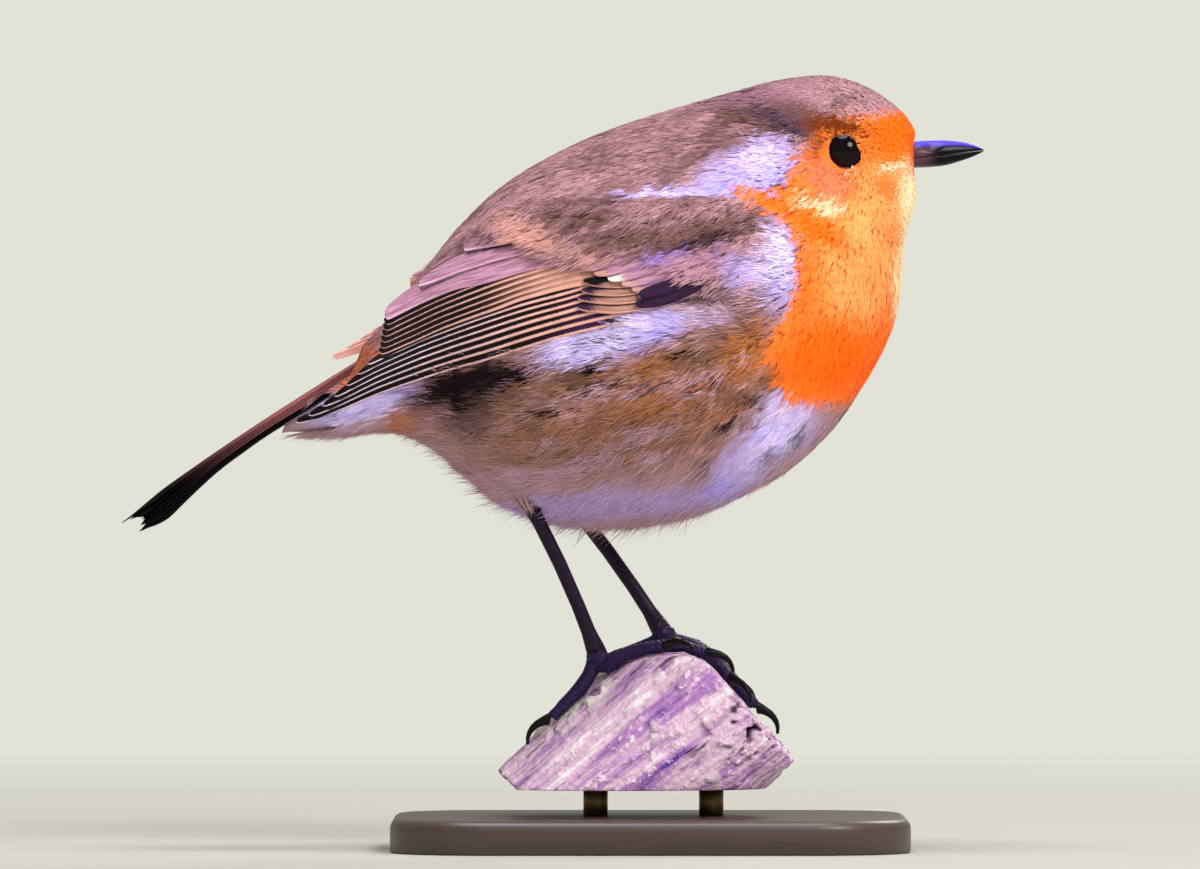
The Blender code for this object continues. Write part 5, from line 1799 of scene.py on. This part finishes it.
def scute_material(name, shade, scale, gloss, depth):
    """Scaly skin or horn: scale is how many bands lie in a millimetre, depth how much they show."""
    material, nodes, shader = new_material(name, Roughness=gloss, Specular_IOR_Level=0.2)
    reach = nodes.value("reach")
    bands = nodes.math("PINGPONG", nodes.times(reach, scale), 0.5)
    grain = nodes.noise(nodes.place(), 1400.0, 4.0)
    height = nodes.plus(nodes.ramp(bands, 0.0, 0.16), nodes.times(grain, 0.5))
    # The grain darkens and lightens the shade in patches: partly the scales' own mottle, partly a painted
    # violet sheen.
    tone = nodes.mix(grain, toned(shade, 0.3), toned(shade, 1.3))
    rim = nodes.mix(depth, tone, toned(shade, 0.2))
    groove = nodes.mix(nodes.ramp(bands, 0.02, 0.14), rim, tone)
    nodes.feed(shader, "Base Color", groove)
    nodes.feed(shader, "Normal", nodes.bump(height, depth, 0.00018))
    return material


def refined(node, name, voxel, smooth_steps, material, reach_from=None):
    """A finer, rounder copy of a CAD node that stands for it."""
    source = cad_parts[node]
    mesh = source.data.copy()
    mesh.materials.clear()
    piece = bpy.data.objects.new(name, mesh)
    bpy.context.scene.collection.objects.link(piece)
    remesh = piece.modifiers.new("remesh", "REMESH")
    remesh.mode = "VOXEL"
    remesh.voxel_size = voxel * MM
    relax = piece.modifiers.new("relax", "SMOOTH")
    relax.iterations = smooth_steps
    relax.factor = 0.5
    graph = bpy.context.evaluated_depsgraph_get()
    made = bpy.data.meshes.new_from_object(piece.evaluated_get(graph))
    made.name = name
    bpy.data.objects.remove(piece)
    bpy.data.meshes.remove(mesh)
    result = finish_piece(name, made, material)
    if reach_from is not None:
        here = surface_of(made)[0] - LIFT
        set_values(made, "reach", np.linalg.norm(here - np.asarray(reach_from), axis=1))
    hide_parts(node)
    return result


def moved_out(piece, amount):
    """Moves a piece's surface outward."""
    mesh = piece.data
    points, normals = surface_of(mesh)
    mesh.vertices.foreach_set("co", ((points + normals * amount) * MM).ravel())
    mesh.update()


def rooted(piece, ground, sunk, reach):
    """Draws the end of a piece that faces the ground tree out to it, and sunk deeper."""
    mesh = piece.data
    points, _ = surface_of(mesh)
    found = [ground.find_nearest(Vector(p - LIFT)) for p in points]
    gaps = np.array([f[3] for f in found])
    first = gaps.argmin()
    aim = np.array(found[first][0]) + LIFT - points[first]
    aim = aim * (1 + sunk / max(gaps[first], 0.05))
    near = np.exp(-((np.linalg.norm(points - points[first], axis=1) / reach) ** 2))
    mesh.vertices.foreach_set("co", ((points + near[:, None] * aim) * MM).ravel())
    mesh.update()


def make_legs():
    scutes = scute_material("leg_scutes", BARE.leg, 0.9, 0.45, 0.14)
    toes = scute_material("toe_scutes", BARE.toe, 1.15, 0.45, 0.6)
    horn = scute_material("claw_horn", BARE.claw, 0.0, 0.3, 0.3)
    for side, _ in SIDES:
        shank = points_mm(f"leg_{side}_shank")
        heel = shank[shank[:, 2] < shank[:, 2].min() + 1.5].mean(0)
        leg = refined(f"leg_{side}_shank", f"shank_{side}", 0.16, 6, scutes, heel)
        foot = refined(f"foot_{side}", f"toes_{side}", 0.16, 5, toes, heel)
        moved_out(foot, 0.1)
        ground = tree_of(f"foot_{side}")
        rooted(leg, ground, 0.4, 1.6)
        for number in range(1, 5):
            claw = refined(f"claw_{side}_{number}", f"hook_{side}_{number}", 0.1, 5, horn, heel)
            rooted(claw, ground, 0.5, 1.0)


# ---- perch and stand ----


def wood_group():
    """Long grain: streaks, cracks and fine fibres along the wood."""
    existing = bpy.data.node_groups.get("long_grain")
    if existing:
        return existing
    tree, nodes, given, leave = new_group(
        "long_grain",
        {"Vector": (VECTOR, None), "Turn": (FLOAT, 0.0), "Fineness": (FLOAT, 1.0)},
        {"Streak": FLOAT, "Fibre": FLOAT, "Crack": FLOAT},
    )
    turn = nodes.add("ShaderNodeCombineXYZ", Y=given["Turn"])
    turned = nodes.add("ShaderNodeMapping", Rotation=turn.outputs[0], Vector=given["Vector"])
    sized = nodes.add(
        "ShaderNodeVectorMath", {"operation": "SCALE"}, Vector=turned.outputs[0], Scale=given["Fineness"]
    )
    results = {}
    for key, scale, size, detail in (
        ("Streak", (36.0, 380.0, 380.0), 1.0, 3.0),
        ("Fibre", (160.0, 1900.0, 1900.0), 1.0, 4.0),
        ("Crack", (60.0, 560.0, 560.0), 1.0, 5.0),
    ):
        long = nodes.add("ShaderNodeMapping", Scale=scale, Vector=sized.outputs[0])
        results[key] = nodes.noise(long.outputs[0], size, detail, 0.6)
    for key, value in results.items():
        nodes.feed(leave, key, value)
    return tree


BRANCH_GRAIN = math.radians(38)


def lumps(points, size, seed):
    """Smooth random values from 0 to 1 over space, in lumps of about that size."""
    table = np.random.default_rng(seed).random((17, 17, 17))
    place = points / np.asarray(size) + 80.0
    cell = np.floor(place).astype(int)
    share = ease(place - cell, 0.0, 1.0)
    cell = cell % 16
    total = 0.0
    for corner in range(8):
        step = np.array([corner & 1, corner >> 1 & 1, corner >> 2 & 1])
        weight = np.prod(np.where(step, share, 1 - share), axis=1)
        total = total + weight * table[tuple((cell + step).T)]
    return total


def wood_material():
    material, nodes, shader = new_material("weathered_wood", Roughness=0.85, Specular_IOR_Level=0.2)
    place = nodes.place()
    grain = use_group(nodes, wood_group(), Vector=place, Turn=BRANCH_GRAIN, Fineness=1.0).outputs
    relief = nodes.value("relief")
    wood, streak, crack = PERCH.wood, PERCH.streak, PERCH.crack
    shade = nodes.mix(nodes.ramp(grain["Streak"], 0.44, 0.6), wood, streak)
    shade = nodes.mix(nodes.ramp(grain["Streak"], 0.6, 0.68), shade, PERCH.stain)
    shade = nodes.mix(nodes.ramp(grain["Streak"], 0.42, 0.3), shade, PERCH.bloom)
    # Pale specks on the raised places are a painted highlight, and the low places turn darker, a painted
    # shade of the relief.
    speck = nodes.noise(place, 1100.0, 3.0)
    fine = nodes.times(nodes.ramp(speck, 0.54, 0.64), nodes.ramp(relief, 0.4, 0.7))
    shade = nodes.mix(nodes.times(fine, 0.8), shade, PERCH.bloom)
    low = nodes.minus(1.0, nodes.ramp(relief, 0.1, 0.36))
    shade = nodes.mix(nodes.times(low, 0.8), shade, toned(streak, 0.35))
    shade = nodes.mix(nodes.value("lichen"), shade, PERCH.lichen)
    # Cracks and pits turn near-black: painted shade inside them.
    cleft = nodes.ramp(grain["Crack"], 0.6, 0.68)
    hole = nodes.larger(nodes.times(cleft, 0.8), nodes.value("pit"))
    shade = nodes.mix(hole, shade, crack)
    nodes.feed(shader, "Base Color", shade)
    height = nodes.minus(nodes.plus(grain["Fibre"], speck), hole)
    nodes.feed(shader, "Normal", nodes.bump(height, 0.8, 0.0006))
    return material


def make_perch():
    """The branch: its CAD solid made finer, with ridges along the grain, pits and a crust of lichen."""
    piece = refined("perch_branch", "branch", 0.3, 4, wood_material())
    mesh = piece.data
    points, normals = surface_of(mesh)
    x, y, z = points[:, 0], points[:, 1], points[:, 2] - CREST
    along = x * math.cos(BRANCH_GRAIN) + z * math.sin(BRANCH_GRAIN)
    across = z * math.cos(BRANCH_GRAIN) - x * math.sin(BRANCH_GRAIN)
    grained = np.stack([along, across, y], 1)
    ridges = lumps(grained, (9.0, 1.3, 1.6), 31)
    fine = lumps(grained, (2.2, 0.7, 0.8), 32)
    rough = lumps(points, 2.6, 33)
    grit = lumps(points, 0.7, 34)
    relief = 0.5 * ridges + 0.25 * fine + 0.12 * rough + 0.13 * grit
    height = 1.5 * (relief - 0.52)
    patch = spot(x, z, (-10.0, -5.0), (5.5, 3.6), 40, 0.5)
    patch = patch + 0.7 * spot(x, z, (-14.5, -9.0), (4.0, 3.0), 40, 0.5)
    patch = patch + 0.5 * ease(lumps(points, 4.5, 37), 0.7, 0.82)
    flakes = lumps(points, (1.6, 1.4, 1.1), 35)
    lichen = np.clip(patch, 0, 1) * ease(flakes, 0.44, 0.56)
    height = height + 0.75 * lichen
    holes = lumps(points, (1.1, 1.3, 0.9), 36)
    open_places = np.clip(spot(x, z, (15.5, -9.5), (5.0, 7.0), -40, 0.5) + 0.5 * patch, 0, 1)
    pit = open_places * ease(holes, 0.66, 0.76) * (1 - lichen)
    height = height - 0.9 * pit
    feet = tree_of("foot_right", "foot_left")
    beside = np.array([feet.find_nearest(Vector((a, b, c)))[3] for a, b, c in zip(x, y, z)])
    free = ease(beside, 0.6, 2.4)
    height = np.where(z < -19.6, 0.0, height * free + 0.16 * (1 - free))
    height = height * ease(z, -20.0, -17.5)
    points = points + normals * height[:, None]
    mesh.vertices.foreach_set("co", (points * MM).ravel())
    mesh.update()
    set_values(mesh, "relief", relief)
    set_values(mesh, "lichen", lichen)
    set_values(mesh, "pit", pit)


def rounded_board(low, high, corner, bevel):
    """A flat board with round corners and a rounded upper edge, as points and faces."""
    steps, rise_steps = 12, 6
    middle = (low + high) / 2
    half = (high - low) / 2
    turns = np.linspace(0, math.pi / 2, steps)
    rings = []
    levels = [(low[2], 0.3), (low[2] + 0.3, 0.0)]
    for turn in np.linspace(0, math.pi / 2, rise_steps):
        levels.append((high[2] - bevel * (1 - math.sin(turn)), bevel * (1 - math.cos(turn))))
    for level, inset in levels:
        ring = []
        for quarter in range(4):
            sign_x, sign_y = ((1, 1), (-1, 1), (-1, -1), (1, -1))[quarter]
            centre = middle + np.array([sign_x * (half[0] - corner), sign_y * (half[1] - corner), 0])
            for turn in turns + quarter * math.pi / 2:
                radius = corner - inset
                ring.append((centre[0] + radius * math.cos(turn), centre[1] + radius * math.sin(turn), level))
        rings.append(ring)
    return closed_form(rings)


BOARD_CORNER, BOARD_BEVEL = 14.0, 1.4


def make_stand():
    material, nodes, shader = new_material("stand_board", Roughness=0.45, Coat_Weight=0.2, Coat_Roughness=0.3)
    grain = use_group(nodes, wood_group(), Vector=nodes.place(), Turn=0.0, Fineness=0.6).outputs
    base = PERCH.base
    shade = nodes.mix(grain["Streak"], base, toned(base, 2.1))
    shade = nodes.mix(nodes.times(grain["Fibre"], 0.5), shade, toned(base, 0.4))
    nodes.feed(shader, "Base Color", shade)
    nodes.feed(shader, "Normal", nodes.bump(grain["Fibre"], 0.12, 0.0002))
    low, high = box_mm("stand_base")
    points, faces = rounded_board(low, high, BOARD_CORNER, BOARD_BEVEL)
    board = new_piece("display_board", points, faces, material)
    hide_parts("stand_base")
    metal, nodes, shader = new_material("stand_rod", Metallic=1.0, Roughness=0.35)
    scratch = nodes.noise(nodes.stretched(nodes.place(), 0.0, (900.0, 900.0, 60.0)), 1.0, 3.0)
    rod = PERCH.rod
    nodes.feed(shader, "Base Color", nodes.mix(scratch, rod, toned(rod, 0.6)))
    for number in (1, 2):
        low, high = box_mm(f"stand_rod_{number}")
        middle, radius = (low + high) / 2, (high[0] - low[0]) / 2
        path = [(middle[0], middle[1], low[2]), (middle[0], middle[1], high[2])]
        points, faces = tube(path, [radius, radius], 40)
        post = new_piece(f"post_{number}", points, faces, metal)
        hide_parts(f"stand_rod_{number}")


# ---- stage ----


def make_stage():
    scene = bpy.context.scene
    shade = STAGE.backdrop
    world = bpy.data.worlds.new("studio")
    scene.world = world
    world.use_nodes = True
    nodes = Nodes(world.node_tree)
    background = world.node_tree.nodes["Background"]
    seen = nodes.add("ShaderNodeLightPath").outputs["Is Camera Ray"]
    dim = toned(shade, STAGE.ambient)
    nodes.feed(background, "Color", nodes.mix(seen, dim, shade))
    make_floor(shade)
    make_lights()
    make_camera()
    scene.view_settings.view_transform = "Standard"
    scene.view_settings.look = "None"


FLOOR_RADIUS = 14.0
FLOOR_SIDES = 96
CAMERA_X = -0.00735
CAMERA_HEIGHT = 0.061


def put_in_scene(name, data):
    made = bpy.data.objects.new(name, data)
    bpy.context.scene.collection.objects.link(made)
    return made


def make_floor(shade):
    """A pale floor that turns into the surroundings' own light far from the bird."""
    material = bpy.data.materials.new("studio_floor")
    material.use_nodes = True
    nodes = Nodes(material.node_tree)
    shader = material.node_tree.nodes["Principled BSDF"]
    shader.inputs["Base Color"].default_value = (*toned(shade, STAGE.floor_tone), 1.0)
    shader.inputs["Roughness"].default_value = 0.9
    shader.inputs["Specular IOR Level"].default_value = 0.0
    glow = nodes.add("ShaderNodeEmission", Color=shade, Strength=1.0)
    distance = nodes.add("ShaderNodeVectorMath", {"operation": "LENGTH"}, Vector=nodes.place())
    far = nodes.ramp(distance.outputs["Value"], 0.12, 0.6)
    mix = material.node_tree.nodes.new("ShaderNodeMixShader")
    links = material.node_tree.links
    links.new(far, mix.inputs[0])
    links.new(shader.outputs[0], mix.inputs[1])
    links.new(glow.outputs[0], mix.inputs[2])
    links.new(mix.outputs[0], material.node_tree.nodes["Material Output"].inputs["Surface"])
    turns = np.linspace(0, 2 * math.pi, FLOOR_SIDES, endpoint=False)
    points = [(FLOOR_RADIUS * math.cos(turn), FLOOR_RADIUS * math.sin(turn), 0) for turn in turns]
    mesh = bpy.data.meshes.new("floor")
    mesh.from_pydata(points, [], [tuple(range(FLOOR_SIDES))])
    mesh.materials.append(material)
    floor = put_in_scene("floor", mesh)


def make_lights():
    target = Vector((0.0, 0.0, 0.07))
    lights = (
        ("key", (0.5, -0.85, 0.75), 0.45, 9.5, (1.0, 0.97, 0.93)),
        ("top", (-0.1, -0.15, 1.2), 0.7, 13.0, (0.92, 0.88, 1.0)),
        ("rim", (0.4, 0.8, 0.7), 0.3, 4.0, (1.0, 0.95, 0.85)),
        ("low", (0.25, -1.0, 0.08), 0.4, 2.0, (1.0, 0.95, 0.98)),
        ("front", (1.1, -0.25, 0.1), 0.6, 4.5, (1.0, 0.97, 0.95)),
    )
    for name, place, size, power, shade in lights:
        data = bpy.data.lights.new(name, "AREA")
        data.shape = "DISK"
        data.size = size
        data.energy = power
        data.color = shade
        lamp = put_in_scene(name, data)
        lamp.location = place
        lamp.visible_glossy = name not in ("low", "front")
        lamp.rotation_euler = (target - Vector(place)).to_track_quat("-Z", "Y").to_euler()


def make_camera():
    """Level with the bird's middle, far off with a long lens, looking along +Y."""
    data = bpy.data.cameras.new("camera")
    data.lens = STAGE.lens
    data.sensor_width = 36.0
    data.clip_start = 0.05
    data.clip_end = 40.0
    camera = put_in_scene("camera", data)
    distance = STAGE.frame_width * STAGE.lens / data.sensor_width
    camera.location = (CAMERA_X, -distance, CAMERA_HEIGHT)
    camera.rotation_euler = (math.pi / 2, 0.0, 0.0)
    bpy.context.scene.camera = camera


# ---- operators ----


def operator(name, label, text, *makers):
    """An operator class that runs makers."""

    def execute(self, context):
        read_settings()
        for maker in makers:
            maker()
        return {"FINISHED"}

    members = {
        "bl_idname": f"robin.{name}",
        "bl_label": label,
        "bl_options": {"REGISTER", "UNDO"},
        "__doc__": text,
        "execute": execute,
    }
    return type(f"ROBIN_OT_{name}", (bpy.types.Operator,), members)


OPERATORS = (
    operator("skin", "Skin", "Lays one skin in place of the flesh", make_skin),
    operator("coat_head", "Head feathers", "Grows the feathers of face and crown", make_face, make_head_back),
    operator("coat_front", "Breast feathers", "Grows the feathers of the breast", make_breast),
    operator("coat_back", "Back feathers", "Grows the feathers of back and rump", make_back, make_rump),
    operator("coat_sides", "Side feathers", "Grows the feathers of flank and belly", make_flanks, make_belly),
    operator("coat_loose", "Loose feathers", "Grows loose barbs and leg tufts", make_wisps, make_leg_tufts),
    operator("wings", "Wings", "Lays the flight feathers and their coverts", make_flight_feathers),
    operator("tail", "Tail", "Lays the twelve tail feathers", make_tail),
    operator("eyes", "Eyes", "Sets the eyes and their lids", make_eyes),
    operator("bill", "Bill", "Shapes the two mandibles", make_bill),
    operator("legs", "Legs", "Shapes shanks, toes and claws", make_legs),
    operator("perch", "Perch", "Weathers the branch", make_perch),
    operator("stand", "Stand", "Finishes the display stand", make_stand),
    operator("stage", "Stage", "Sets floor, lights and camera", make_stage),
)


class ROBIN_PT_panel(bpy.types.Panel):
    bl_label = "Robin"
    bl_space_type = "VIEW_3D"
    bl_region_type = "UI"
    bl_category = "Robin"

    def draw(self, context):
        for made in OPERATORS:
            self.layout.operator(made.bl_idname)


GROUPS = {
    "robin_plumage": RobinPlumage,
    "robin_flight": RobinFlight,
    "robin_bare": RobinBare,
    "robin_perch": RobinPerch,
    "robin_stage": RobinStage,
}


def register():
    for name, group in GROUPS.items():
        bpy.utils.register_class(group)
        setattr(bpy.types.Scene, name, PointerProperty(type=group))
    for made in OPERATORS:
        bpy.utils.register_class(made)
    bpy.utils.register_class(ROBIN_PT_panel)


def unregister():
    bpy.utils.unregister_class(ROBIN_PT_panel)
    for made in reversed(OPERATORS):
        bpy.utils.unregister_class(made)
    for name, group in GROUPS.items():
        delattr(bpy.types.Scene, name)
        bpy.utils.unregister_class(group)


def main():
    register()
    for made in OPERATORS:
        group, name = made.bl_idname.split(".")
        getattr(getattr(bpy.ops, group), name)()


if __name__ == "__main__":
    main()
